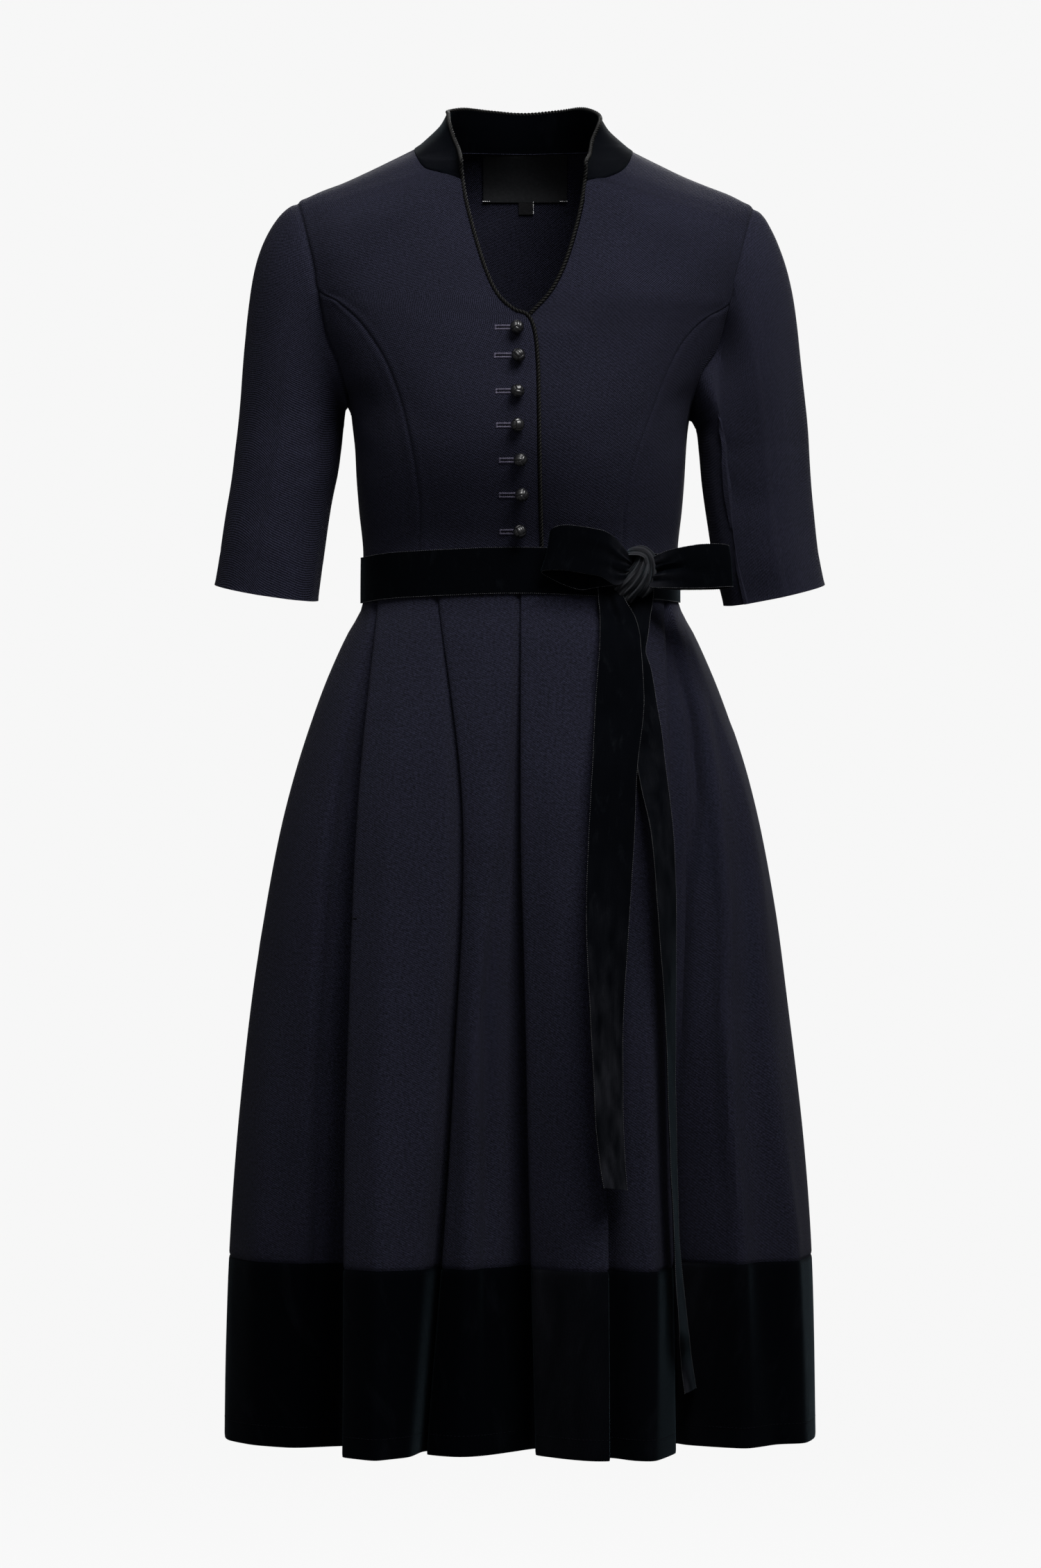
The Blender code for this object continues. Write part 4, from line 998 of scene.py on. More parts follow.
def readCurve(rows, place, column=1):
    # A smooth curve through the rows of a table, read at a place in its first column.
    rows = sorted(rows)
    places = np.array([row[0] for row in rows], float)
    values = np.array([row[column] for row in rows], float)
    slopes = np.gradient(values, places)
    place = float(np.clip(place, places[0], places[-1]))
    low = int(np.clip(np.searchsorted(places, place) - 1, 0, len(places) - 2))
    step = places[low + 1] - places[low]
    u = (place - places[low]) / step
    start = values[low] * (1 + 2 * u) + slopes[low] * step * u
    end = values[low + 1] * (3 - 2 * u) + slopes[low + 1] * step * (u - 1)
    return float(start * (1 - u) ** 2 + end * u**2)


def ease(value):
    value = min(max(value, 0.0), 1.0)
    return value * value * (3 - 2 * value)


def bodyAt(height):
    return [readCurve(bodySections, height, column) for column in (1, 2, 3)]


def ridgeAt(x):
    return readCurve(shoulderRidge, abs(x))


def bodiceY(x, height, face):
    # Depth of the bodice's outer surface; face is -1 on the front and 1 on the back.
    halfWidth, front, back = bodyAt(height)
    across = min(abs(x) / halfWidth, 1.0)
    drop = min(max(ridgeAt(x) - height, 0.0) / ridgeRounding, 1.0)
    fall = math.sqrt(1 - (1 - drop) ** 2)
    depth = front if face < 0 else back
    return face * depth * (1 - across**bodySquareness) ** (1 / bodySquareness) * fall


def angleOf(x, height):
    # Place of x round the section, 0 at the wearer's left side and pi at the right side.
    halfWidth = bodyAt(height)[0]
    across = min(abs(x) / halfWidth, 1.0) ** (bodySquareness / 2)
    return math.acos(math.copysign(across, x))


def xOf(angle, height):
    halfWidth = bodyAt(height)[0]
    cosine = math.cos(angle)
    return math.copysign(halfWidth * abs(cosine) ** (2 / bodySquareness), cosine)


def seamPoints(side, seam):
    # A seam of one half as signed (x, height) points, the ridge's height filled in.
    sign = -1 if side == "right" else 1
    flip = sign if seam != "edge" else 1
    return [(flip * x, ridgeAt(x) if height is None else height) for x, height in seams[side][seam]]


def bodiceRow(start, end, shares, nearRidge, face, sink=None):
    # Points of one row between two seam points, even round the body or along the ridge.
    startAngle = angleOf(*start)
    endAngle = angleOf(*end)
    startDrop = ridgeAt(start[0]) - start[1]
    endDrop = ridgeAt(end[0]) - end[1]
    row = []
    for share in shares:
        level = start[1] + share * (end[1] - start[1])
        x = xOf(startAngle + share * (endAngle - startAngle), level)
        if share in (0, 1):
            x = start[0] if share == 0 else end[0]
        underRidge = ridgeAt(x) - (startDrop + share * (endDrop - startDrop))
        height = (1 - nearRidge) * level + nearRidge * underRidge
        y = bodiceY(x, height, face)
        if sink:
            y += sink(x)
        row.append((x, y, height))
    return row


def evenShares(steps):
    return [step / steps for step in range(steps + 1)]


def sharesFor(start, end, xs):
    # Shares of the angle between two points at which the given x values lie.
    low = angleOf(*start)
    high = angleOf(*end)
    return [0.0] + [(angleOf(x, ridgeAt(x)) - low) / (high - low) for x in xs[1:-1]] + [1.0]


def blend(first, second, share):
    return [a + share * (b - a) for a, b in zip(first, second)]


def shoulderXs(side):
    # x of the shoulder seam's points, from the collar out to the armhole.
    neck = seamPoints(side, "edge")[-1][0]
    tip = seamPoints(side, "armhole")[-1][0]
    return [neck + share * (tip - neck) for share in evenShares(shoulderSteps)]


def underlapDrop(x):
    return underlapSink * ease((underlapFrom - x) / (underlapFrom - underlapTo))


def frontGrid(side):
    # The centre front of one side, between the princess seam and the front or neck edge.
    edge = seamPoints(side, "edge")
    princess = seamPoints(side, "princess")
    outer = princess + seamPoints(side, "armhole")[armholeBelowPrincess:]
    inwards = sharesFor(edge[-1], outer[-1], shoulderXs(side))
    rows = []
    for number, (start, end) in enumerate(zip(edge, outer)):
        nearRidge = max(0.0, (number - len(princess)) / (len(edge) - 1 - len(princess)))
        shares = blend(evenShares(shoulderSteps), inwards, nearRidge)
        row = bodiceRow(start, end, shares, nearRidge, -1, underlapDrop if side == "left" else None)
        rows.append(row if side == "left" else row[::-1])
    return np.array(rows)


def sideFrontGrid(side):
    # The side front, between the side seam or armhole and the princess seam.
    princess = seamPoints(side, "princess")
    armhole = seamPoints(side, "armhole")[: armholeBelowPrincess + 1]
    outer = seamPoints(side, "side")[:-1] + armhole
    shares = evenShares(sideSteps)
    rows = [bodiceRow(start, end, shares, 0, -1) for start, end in zip(princess, outer)]
    # The tip's short edge is straight like the front's beside it, and draws back a little in the middle.
    tip = np.array(rows[-1])
    rows[-1] = [tip[0] + share * (tip[-1] - tip[0]) for share in shares]
    for place in range(1, sideSteps):
        down = np.array(rows[-2][place]) - rows[-1][place]
        rows[-1][place] = rows[-1][place] + down / np.linalg.norm(down) * seamGap
    return np.array([row if side == "left" else row[::-1] for row in rows])


def backNeckRow():
    # The back's top edge, from the left shoulder tip over the neck to the right one.
    left = shoulderXs("left")
    right = shoulderXs("right")
    points = [(x, 0.0, ridgeAt(x)) for x in reversed(left)]
    for share in evenShares(backNeckSteps)[1:-1]:
        turn = math.pi * share
        middle = (left[0] + right[0]) / 2
        x = middle + (left[0] - right[0]) / 2 * math.cos(turn)
        rise = ease(math.sin(turn))
        height = ridgeAt(left[0]) + rise * (backNeckHeight - ridgeAt(left[0]))
        points.append((x, bodiceY(x, height, 1), height))
    return points + [(x, 0.0, ridgeAt(x)) for x in right]


def backGrid():
    left = seamPoints("left", "side")[:-1] + seamPoints("left", "armhole")
    right = seamPoints("right", "side")[:-1] + seamPoints("right", "armhole")
    top = backNeckRow()
    ends = (top[0][0], top[0][2]), (top[-1][0], top[-1][2])
    low = angleOf(*ends[0])
    high = angleOf(*ends[1])
    wanted = [0.0] + [(angleOf(x, height) - low) / (high - low) for x, _, height in top[1:-1]] + [1.0]
    underarm = len(seams["left"]["side"]) - 1
    rows = []
    for number, (start, end) in enumerate(zip(left[:-1], right[:-1])):
        nearRidge = max(0.0, (number - backEvenRows) / (len(left) - 1 - backEvenRows))
        turned = min(1.0, max(0.0, (number - underarm) / backTurningRows))
        shares = blend(evenShares(len(top) - 1), wanted, turned)
        row = bodiceRow(start, end, shares, 0, 1)
        lifted = []
        for point, above in zip(row, top):
            drop = ridgeAt(above[0]) - above[2]
            under = ridgeAt(point[0]) - drop - (ridgeAt(start[0]) - start[1])
            height = (1 - nearRidge) * point[2] + nearRidge * under
            lifted.append((point[0], bodiceY(point[0], height, 1), height))
        lifted[0] = row[0]
        lifted[-1] = row[-1]
        rows.append(lifted)
    rows.append(top)
    return np.array(rows)


def collarGrid(fronts, back):
    # The stand collar, from the wearer's right front end round the back to the left one.
    right = fronts["right"][-edgeUnderCollar - 1 :, -1]
    left = fronts["left"][-edgeUnderCollar - 1 :, 0]
    neck = back[-1][shoulderSteps : shoulderSteps + backNeckSteps + 1]
    seam = np.concatenate([right, neck[::-1][1:-1], left[::-1]])
    lengths = runLengths(seam)
    rows = [[] for _ in collarLevels]
    for point, length in zip(seam, lengths):
        share = 1 - abs(2 * length / lengths[-1] - 1)
        rise = readCurve(collarShape, share)
        lean = readCurve(collarShape, share, 2 if point[0] < neckAxisX else 3)
        inwards = np.array([neckAxisX - point[0], -point[1], 0.0])
        inwards /= np.linalg.norm(inwards)
        for row, (up, over) in zip(rows, collarLevels):
            row.append(point + inwards * lean * over + np.array([0, 0, rise * up]))
    return np.array(rows)[:, ::-1]


def armholeLoop(side, fronts, sideFronts, back):
    # Points round one armhole: tip, down the front, underarm and up the back.
    column = -1 if side == "left" else 0
    front = fronts[side][:, column]
    sideFront = sideFronts[side][:, column]
    rear = back[:, 0 if side == "left" else -1]
    underarm = len(seams[side]["side"]) - 1
    princessTop = len(seams[side]["princess"])
    down = np.concatenate([front[: princessTop - 1 : -1], sideFront[-2 : underarm - 1 : -1]])
    return np.concatenate([down, rear[underarm + 1 : -1]])


def sleeveGrid(side, loop):
    sign = -1 if side == "right" else 1
    shape = sleeves[side]
    tip = loop[0]
    foot = loop[np.argmin(loop[:, 2])]
    middle = (tip[2] + foot[2]) / 2
    halfHeight = (tip[2] - foot[2]) / 2
    halfDepth = np.abs(loop[:, 1]).max()
    angles = np.arctan2(-loop[:, 1] / halfDepth, (loop[:, 2] - middle) / halfHeight)
    quarter = math.pi / 2
    footAngle = angles[np.argmin(loop[:, 2])]
    stretched = quarter + (angles - quarter) * quarter / (footAngle - quarter)
    angles = np.where(angles > quarter, stretched, angles)

    def ring(share, angle):
        # A point of the straight sleeve: share 0 under the arm, 1 at the cuff.
        outerTop = shape["underarm"] + outerUnderarmRise
        outerHeight = outerTop + share * (shape["cuff"][0] - outerTop)
        innerHeight = shape["underarm"] + share * (shape["cuff"][1] - shape["underarm"])
        outerX = readCurve(shape["outer"], outerHeight)
        innerX = readCurve(shape["inner"], innerHeight)
        depth = sleeveDepths[0] + share * (sleeveDepths[1] - sleeveDepths[0])
        out = (1 + math.cos(angle)) / 2
        x = innerX + out * (outerX - innerX)
        y = -sleeveSwing * share - depth * math.sin(angle)
        height = innerHeight + out * (outerHeight - innerHeight)
        height -= cuffFrontDrop * share * max(0.0, math.sin(angle))
        return np.array([sign * x, y, height])

    rows = []
    for u in sleeveCrownSteps:
        row = []
        for point, angle in zip(loop, angles):
            start = point + np.array([sign * capGap, 0, 0])
            end = ring(0, angle)
            length = np.linalg.norm(end - start)
            out, up = blend(shape["cap_leaves"], capLeavesUnder, (1 - math.cos(angle)) / 2)
            leave = np.array([sign * out, 0, up]) * length * capLeavingPull
            out, up = capArrives
            arrive = np.array([sign * out, 0, up]) * length * capArrivingPull
            place = start * (1 + 2 * u) * (1 - u) ** 2 + leave * u * (1 - u) ** 2
            place += end * u**2 * (3 - 2 * u) + arrive * u**2 * (u - 1)
            row.append(place)
        rows.append(row)
    for step in range(1, sleeveTubeSteps + 1):
        rows.append([ring(step / sleeveTubeSteps, angle) for angle in angles])
    grid = np.array(rows)
    return grid if side == "left" else grid[:, ::-1]


@functools.lru_cache(None)
def skirtAt(height):
    return [readCurve(skirtSections, height, column) for column in (1, 2, 3, 4)]


def skirtBase(angle, height, face):
    # Point of the unpleated section and the way that a fold sinks there.
    halfWidth, front, back, squareness = skirtAt(height)
    depth = front if face < 0 else back
    cosine = math.cos(angle)
    sine = max(math.sin(angle), 0.0)
    x = math.copysign(halfWidth * abs(cosine) ** (2 / squareness), cosine)
    y = face * depth * sine ** (2 / squareness)
    outX = math.copysign(abs(x / halfWidth) ** (squareness - 1) / halfWidth, x) * foldLean
    outY = face * abs(y / depth) ** (squareness - 1) / depth
    length = math.hypot(outX, outY)
    return np.array([x, y]), np.array([outX, outY]) / length


def skirtAngle(x, height):
    halfWidth, _, _, squareness = skirtAt(height)
    across = min(abs(x) / halfWidth, 1.0) ** (squareness / 2)
    return math.acos(math.copysign(across, x))


def foldX(fold, height):
    return readCurve(tuple(zip(foldHeights, fold[1:5])), height)


def sinkOf(fold, height):
    opening = max(0.0, (beltFoot - height) / (beltFoot - hem))
    layer = layerDepths[fold[5]]
    return layer + (fold[6] - layer) * opening


def foldAngles(folds, height, face):
    # Angle of each fold line round the section, so that the sunk point has the wanted x.
    angles = []
    for number, fold in enumerate(folds):
        if fold[1] is None:
            angles.append(None)
            continue
        wanted = foldX(fold, height)
        x = wanted
        for _ in range(4):
            _, out = skirtBase(skirtAngle(x, height), height, face)
            x = wanted + out[0] * sinkOf(fold, height)
        angles.append(skirtAngle(x, height))
    ends = (0.0, math.pi) if foldSide(folds) > 0 else (math.pi, 0.0)
    angles[0] = ends[0]
    angles[-1] = ends[1]
    known = [number for number, angle in enumerate(angles) if angle is not None]
    return [float(np.interp(number, known, [angles[k] for k in known])) for number in range(len(angles))]


def foldSide(folds):
    # 1 where the lines run from +X to -X, -1 where they run the other way.
    first = next(fold for fold in folds if fold[1] is not None)
    return 1 if first[1] > 0 else -1


def foldLines(table):
    # One line for each layer of a row
    return tuple((*row[:5], *layer) for row in table for layer in row[5:])


def mirroredFolds(half):
    # A whole set of lines from one half: the mirror half comes first, turned round.
    other = [(fold[0], *(None if x is None else -x for x in fold[1:5]), *fold[5:]) for fold in half]
    return (*half, *other[-2::-1])


def alongEdge(edge, beside):
    # The way from an edge to the cord's centres: out past it by the cord's radius and the seam gap
    runs = unit(np.gradient(edge, axis=0))
    out = edge - beside
    out -= runs * (out * runs).sum(axis=1, keepdims=True)
    return unit(out) * (cordRadius + cordGap)


def pipingPath(fronts, collar):
    # Cord centres up the overlap and right neckline, round the collar and down the left neckline.
    right = fronts["right"][1:-edgeUnderCollar]
    left = fronts["left"][edgePlacket:-edgeUnderCollar][::-1]
    top = collar[-1][::-1]
    collarRight = collar[1:, -1]
    collarLeft = collar[1:, 0][::-1]
    outRight = alongEdge(collarRight, collar[1:, -2])
    outLeft = alongEdge(collarLeft, collar[1:, 1][::-1])
    up = alongEdge(top, collar[-2][::-1])
    path = [right[:, -1] + alongEdge(right[:, -1], right[:, -2])]
    path.append(collarRight[:-1] + outRight[:-1])
    path.append(top[:1] + outRight[-1:] + up[:1])
    path.append(top[1:-1] + up[1:-1])
    path.append(top[-1:] + outLeft[:1] + up[-1:])
    path.append(collarLeft[1:] + outLeft[1:])
    path.append(left[:, 0] + alongEdge(left[:, 0], left[:, 1]))
    foot = path[0][:1] + np.array([[0, 0, beltTop + seamGap - path[0][0, 2]]])
    return np.concatenate([foot, *path])


# Bodice

bodiceFinish = {
    "wall": 1.3,
    "rowSteps": 6,
    "columnSteps": 9,
    "close": (0.02, 0.05, 0.1, 0.18),  # extra lines of points beside the seams, as shares of a cell
    "seamSink": 1.1,
    "seamReach": 1.5,
    "seamRidge": {"height": 0.35, "away": 5, "width": 2.5},
    "calmEdge": {"share": 0.75, "width": 9},  # how far creases and noise give way beside a seam
    "noise": {"height": 0.7, "size": 55.0, "seed": 3},
    # soft pulls in the cloth: line as (x, z), width, height
    "creases": (
        (((-142, -192), (-128, -200), (-112, -214)), 7, -1.3),
        (((-140, -206), (-124, -216), (-108, -232)), 6, -0.9),
        (((-136, -228), (-122, -246), (-112, -268)), 9, -1.0),
        (((142, -190), (130, -200), (116, -216)), 7, -1.2),
        (((138, -214), (126, -228), (112, -248)), 8, -0.9),
        (((-150, -112), (-138, -128), (-128, -150)), 9, -0.9),
        (((152, -100), (142, -120), (132, -142)), 9, -0.9),
        (((-92, -214), (-70, -226), (-40, -232)), 12, -0.9),
        (((92, -220), (70, -232), (40, -238)), 12, -0.9),
        (((-118, -330), (-100, -322), (-84, -318)), 6, -0.9),
        (((118, -330), (100, -320), (88, -316)), 6, -0.8),
        (((-60, -336), (-30, -330), (0, -333)), 7, -0.6),
        (((20, -150), (34, -150), (50, -154)), 6, 0.7),
    ),
}
seamEdges = []  # each seam edge before and after its turning, for the sleeves to meet


def bodicePiece(name, grid, seamSides, face, node):
    shape = bodiceFinish
    ridge, calm = shape["seamRidge"], shape["calmEdge"]
    rowPlaces = cellPlaces(grid.shape[0] - 1, shape["rowSteps"], shape["close"])
    columnPlaces = cellPlaces(grid.shape[1] - 1, shape["columnSteps"], shape["close"])
    fine = refine(grid, rowPlaces, columnPlaces)
    lift = creaseRelief(fine, shape["creases"], face)
    lift += softRelief(fine, shape["noise"])
    fade = np.ones(fine.shape[:2])
    sink = np.zeros(fine.shape[:2])
    for side in ("low", "high", "first", "last"):
        distance = edgeDistance(fine, side)
        fade *= 1 - bell(distance, calm["width"]) * calm["share"]
        if side in seamSides:
            sink += shape["seamSink"] * bell(distance, shape["seamReach"])
            sink -= ridge["height"] * bell(distance - ridge["away"], ridge["width"])
    turned = fine + gridNormals(fine) * (lift * fade - sink)[..., None]
    seamEdges.extend((fine[:, column], turned[:, column]) for column in (0, -1))
    return sewn(name, turned, shape["wall"], "twill", "twill", "hung", node)


fronts = {side: frontGrid(side) for side in seams}
sideFronts = {side: sideFrontGrid(side) for side in seams}
back = backGrid()
collar = collarGrid(fronts, back)
bodicePieces = (
    # name, grid, edges with a seam, front or back, node
    ("frontRight", fronts["right"], ("first", "high"), -1, "front_right"),
    ("frontLeft", fronts["left"], ("last", "high"), -1, "front_left"),
    ("sideFrontRight", sideFronts["right"], ("first", "last", "high"), -1, "side_front_right"),
    ("sideFrontLeft", sideFronts["left"], ("first", "last", "high"), -1, "side_front_left"),
    ("backPanel", back, ("first", "last", "high"), 1, "back"),
)
pieces = {name: bodicePiece(name, *row) for name, *row in bodicePieces}
print("bodice is made")

# Sleeves

sleeveFinish = {
    "wall": 1.3,
    "rowSteps": 9,
    "columnSteps": 5,
    "close": (0.02, 0.06, 0.12),
    "noise": {"height": 0.8, "size": 48.0, "seed": 11},
    "calmHead": {"share": 0.8, "width": 12},
    "seamWidth": 2,
    "meets": 3.0,  # mm over which the head turns in to the bodice's edge
    # mm from the head or the cuff, width, height: the cap's ease rolls over the seam, then edge and hem
    "headRoll": (9, 6, 0.35),
    "cuffEdge": (0.5, 2, 0.25),
    "cuffHem": (27, 1.6, 0.2),
    "creases": {
        "right": (
            (((-146, -214), (-160, -232), (-178, -244)), 7, -1.5),
            (((-148, -232), (-164, -254), (-184, -268)), 8, -1.2),
            (((-152, -258), (-168, -290), (-176, -330)), 11, -1.5),
            (((-190, -70), (-204, -110), (-214, -150)), 14, 1.0),
            (((-228, -300), (-205, -318), (-180, -330)), 12, 0.9),
        ),
        "left": (
            (((146, -218), (160, -236), (178, -250)), 7, -1.5),
            (((148, -236), (162, -262), (176, -300)), 9, -1.5),
            (((158, -270), (182, -282), (214, -286)), 13, -1.0),
            (((196, -80), (208, -118), (218, -160)), 14, 1.0),
            (((230, -310), (205, -330), (182, -340)), 12, 0.9),
        ),
    },
}


def towardSeams(points):
    # The way from each point to the turned edge of the bodice beside it
    best = np.full(len(points), 1e9)
    shift = np.zeros((len(points), 3))
    for before, after in seamEdges:
        for a, b, c, d in zip(before[:-1], before[1:], after[:-1], after[1:]):
            way = b - a
            t = np.clip(((points - a) @ way) / max(way @ way, 1e-9), 0, 1)[:, None]
            distance = np.linalg.norm(points - a - t * way, axis=1)
            nearer = distance < best
            best = np.where(nearer, distance, best)
            shift = np.where(nearer[:, None], c + t * (d - c) - points, shift)
    return shift


def bead(distance, values):
    away, width, height = values
    return height * bell(distance - away, width)


def makeSleeve(side):
    shape = sleeveFinish
    coarse = sleeveGrid(side, armholeLoop(side, fronts, sideFronts, back))
    rows, columns = coarse.shape[:2]
    columnPlaces = np.linspace(0, columns, columns * shape["columnSteps"], endpoint=False)
    grid = refine(coarse, cellPlaces(rows - 1, shape["rowSteps"], shape["close"]), columnPlaces, True)
    normals = gridNormals(grid, True)
    lift = creaseRelief(grid, shape["creases"][side], -1)
    lift += softRelief(grid, shape["noise"])
    head = edgeDistance(grid, "low")
    cuff = edgeDistance(grid, "high")
    fade = 1 - bell(head, shape["calmHead"]["width"]) * shape["calmHead"]["share"]
    lift = lift * fade + bead(head, shape["headRoll"])
    lift *= 1 - bell(head, shape["seamWidth"])
    lift += bead(cuff, shape["cuffEdge"]) - bead(cuff, shape["cuffHem"])
    meeting = bell(head, shape["meets"])[..., None] * towardSeams(grid[0])[None]
    grid = grid + normals * lift[..., None] + meeting
    name, node = f"sleeve{side.title()}", f"sleeve_{side}"
    sewn(name, grid, shape["wall"], "twill", "twill", "hung", node, wraps=True)


for side in seams:
    makeSleeve(side)
print("sleeves are made")

# Collar

collarFinish = {
    "wall": 2.0,
    "rowSteps": 5,
    "columnSteps": 6,
    "close": (0.04,),
    "noise": {"height": 0.35, "size": 22.0, "seed": 5},
    "footRoll": (0, 2.5, 0.7),
    "footSeam": (0, 0.8, 0.5),
    # the foot is turned under into the neck seam, the top edge reaches into the cord: behind, in front
    "reaches": {"low": (1.8, -0.5), "high": (1.6, 1.6)},
    "reachWidth": 3,
    # painted sheen on the collar's outer face: kept to points in front of this depth (mm), and its amount
    "lit": {"front": 12.0, "amount": 0.12},
}


def makeCollar():
    shape = collarFinish
    rowPlaces = cellPlaces(collar.shape[0] - 1, shape["rowSteps"], shape["close"])
    grid = refine(collar, rowPlaces, cellPlaces(collar.shape[1] - 1, shape["columnSteps"]))
    normals = gridNormals(grid)
    lift = softRelief(grid, shape["noise"])
    low = edgeDistance(grid, "low")
    lift += bead(low, shape["footRoll"]) - bead(low, shape["footSeam"])
    for row, beside, side in ((0, 1, "low"), (-1, -2, "high")):
        way = unit(grid[row] - grid[beside])
        reach = np.where(grid[row, :, 1] > 0, *shape["reaches"][side])[None, :, None]
        grid = grid + reach * (bell(edgeDistance(grid, side), shape["reachWidth"])[..., None] * way[None])
    grid = grid + normals * lift[..., None]
    low, high = (edgeDistance(grid, side) for side in ("low", "high"))
    share = low / (low + high)
    # painted sheen, most midway up the collar
    front = grid[..., 1] < shape["lit"]["front"]
    lit = shape["lit"]["amount"] * front * np.sin(np.pi * share) ** 0.5
    sewn("standCollar", grid, shape["wall"], "velvet", "velvet", "hung", "collar", lit=lit, normals=normals)


makeCollar()
print("collar is made")

# Skirt

skirtFinish = {
    # piece, node, low end, high end, row step, wall, cloth, slot, sink of the top edge and of the low one
    "parts": (
        ("skirt", "skirt", bandTop, waist, 9.0, 1.0, "skirtTwill", "twill", 0.0, 0.9),
        ("hemBand", "hem_band", hem, bandTop, 8.0, 1.3, "velvet", "velvet", 0.7, 0.3),
    ),
    "faceStep": 3.4,
    "kneeHeight": -740,
    "close": (0.6, 1.6, 3.0),  # mm from the seams, for extra rows
    "smoothing": (1, 5),  # passes at the waist and at the hem
    "noise": {"height": 1.1, "size": 90.0, "seed": 21, "stretch": (1, 1, 0.45), "fadesIn": 160},
    "seamReach": 1.5,
    # soft folds seen from the front: line as (x, z), width, height
    "creases": (
        (
            (
                (115, -364), (122, -398), (136, -458), (141, -523),
                (133, -574), (127, -682), (124, -760),
            ),
            4.0, -6.0,
        ),
        (
            (
                (128, -369), (141, -419), (154, -513), (163, -614),
                (160, -682), (166, -789), (173, -859), (179, -1033),
            ),
            6.0, 5.2,
        ),
        (((171, -470), (188, -594), (192, -682), (203, -789), (215, -867), (226, -1033)), 7.0, 4.6),
        (((165, -540), (176, -601), (178, -682), (183, -789), (188, -859), (196, -1000)), 8.0, -4.0),
        (
            (
                (-122, -385), (-130, -431), (-142, -489), (-154, -584),
                (-160, -709), (-161, -864), (-170, -1000),
            ),
            4.5, -6.0,
        ),
        (((-34, -560), (-34, -601), (-37, -682), (-39, -789), (-41, -864), (-44, -1010)), 8.0, 3.6),
        (((-8, -500), (-15, -574), (-26, -682), (-24, -789), (-24, -859), (-26, -1010)), 5.5, -5.0),
        (((101, -560), (101, -682), (101, -789), (102, -859), (105, -1010)), 7.0, 3.6),
        (((-205, -640), (-203, -760), (-208, -880), (-212, -1010)), 14.0, 3.4),
    ),
    # painted sheen on the band's flanks beside the folds: from x, how far it fades (to the left where
    # negative), amount
    "lit": ((10, 34, 0.5), (-141, 9, 0.22), (125, 24, 0.42), (-236, 12, 0.3), (236, -10, 0.3)),
    "litBehind": 0.4,
}


def sunk(angle, height, face, sink):
    base, out = skirtBase(angle, height, face)
    return base - out * sink


def foldSteps(folds, face):
    # How many points each stretch of cloth between two lines gets, from its length at knee height
    knee = skirtFinish["kneeHeight"]
    angles = foldAngles(folds, knee, face)
    points = np.array([sunk(angle, knee, face, sinkOf(fold, knee)) for fold, angle in zip(folds, angles)])
    lengths = np.linalg.norm(np.diff(points, axis=0), axis=1)
    return [max(2, math.ceil(length / skirtFinish["faceStep"])) for length in lengths]


def fineSection(folds, steps, height, face):
    angles = foldAngles(folds, height, face)
    sinks = [sinkOf(fold, height) for fold in folds]
    points = []
    for k, count in enumerate(steps):
        for share in evenShares(count)[:-1]:
            angle = angles[k] + share * (angles[k + 1] - angles[k])
            points.append(sunk(angle, height, face, sinks[k] + share * (sinks[k + 1] - sinks[k])))
    points.append(sunk(angles[-1], height, face, sinks[-1]))
    points = np.array(points)
    share = min(1.0, max(0.0, (beltFoot - height) / (beltFoot - hem)))
    least, most = skirtFinish["smoothing"]
    passes = least + share * (most - least)
    for number in range(math.ceil(passes)):
        weight = 0.5 * min(1.0, passes - number)
        points[1:-1] += weight * ((points[:-2] + points[2:]) / 2 - points[1:-1])
    return points


def innerWall(points, wall):
    # The section moved in by the wall, with corners limited where the cloth doubles back
    runs = unit(np.diff(points, axis=0))
    inwards = np.stack([-runs[:, 1], runs[:, 0]], axis=1)
    fit = np.maximum(1 + (inwards[:-1] * inwards[1:]).sum(axis=1, keepdims=True), leastMitre)
    inner = points.copy()
    inner[1:-1] += wall * (inwards[:-1] + inwards[1:]) / fit
    for end in (0, -1):
        inner[end] += wall * np.array([-np.sign(points[end][0]), 0])
    return inner


def skirtPanel(name, node, folds, face, heights, wall, material, slot, sinkTop, sinkLow):
    shape = skirtFinish
    steps = foldSteps(folds, face)
    outer, inner = [], []
    for height in heights:
        section = fineSection(folds, steps, height, face)
        for rows, line in ((outer, section), (inner, innerWall(section, wall))):
            rows.append([(x, y, height) for x, y in line])
    outer = np.array(outer, float)
    inner = np.array(inner, float)
    ways = unit(outer - inner)
    rough = shape["noise"]
    opening = np.clip((beltFoot - outer[..., 2]) / rough["fadesIn"], 0, 1)
    lift = rough["height"] * opening * softNoise(outer * rough["stretch"], rough["size"], rough["seed"])
    if face < 0:
        lift += creaseRelief(outer, shape["creases"], face)
    for edge, amount in (("low", sinkLow), ("high", sinkTop)):
        lift -= amount * bell(edgeDistance(outer, edge), shape["seamReach"])
    outer = outer + ways * lift[..., None]
    inner = inner + ways * lift[..., None]
    lit = None
    # painted sheen on the velvet band, weaker behind
    if slot == "velvet":
        lit = np.zeros(outer.shape[:2])
        for x, reach, amount in shape["lit"]:
            beside = (outer[..., 0] - x) * np.sign(reach)
            near = (beside > -1) & (outer[..., 1] * face > 0)
            lit = np.maximum(lit, near * amount * np.exp(-np.clip(beside, 0, None) / abs(reach)))
        lit *= 1 if face < 0 else shape["litBehind"]
    settings = {"restsOn": ["waistRibbon"], "lit": lit, "inner": inner}
    pieces[name] = sewn(name, outer, wall, material, slot, "gathered", node, **settings)
    return outer


def evenHeights(low, high, step):
    close = skirtFinish["close"]
    even = np.linspace(low, high, max(2, round((high - low) / step)) + 1)
    return np.unique(np.round([*even, *(low + gap for gap in close), *(high - gap for gap in close)], 3))


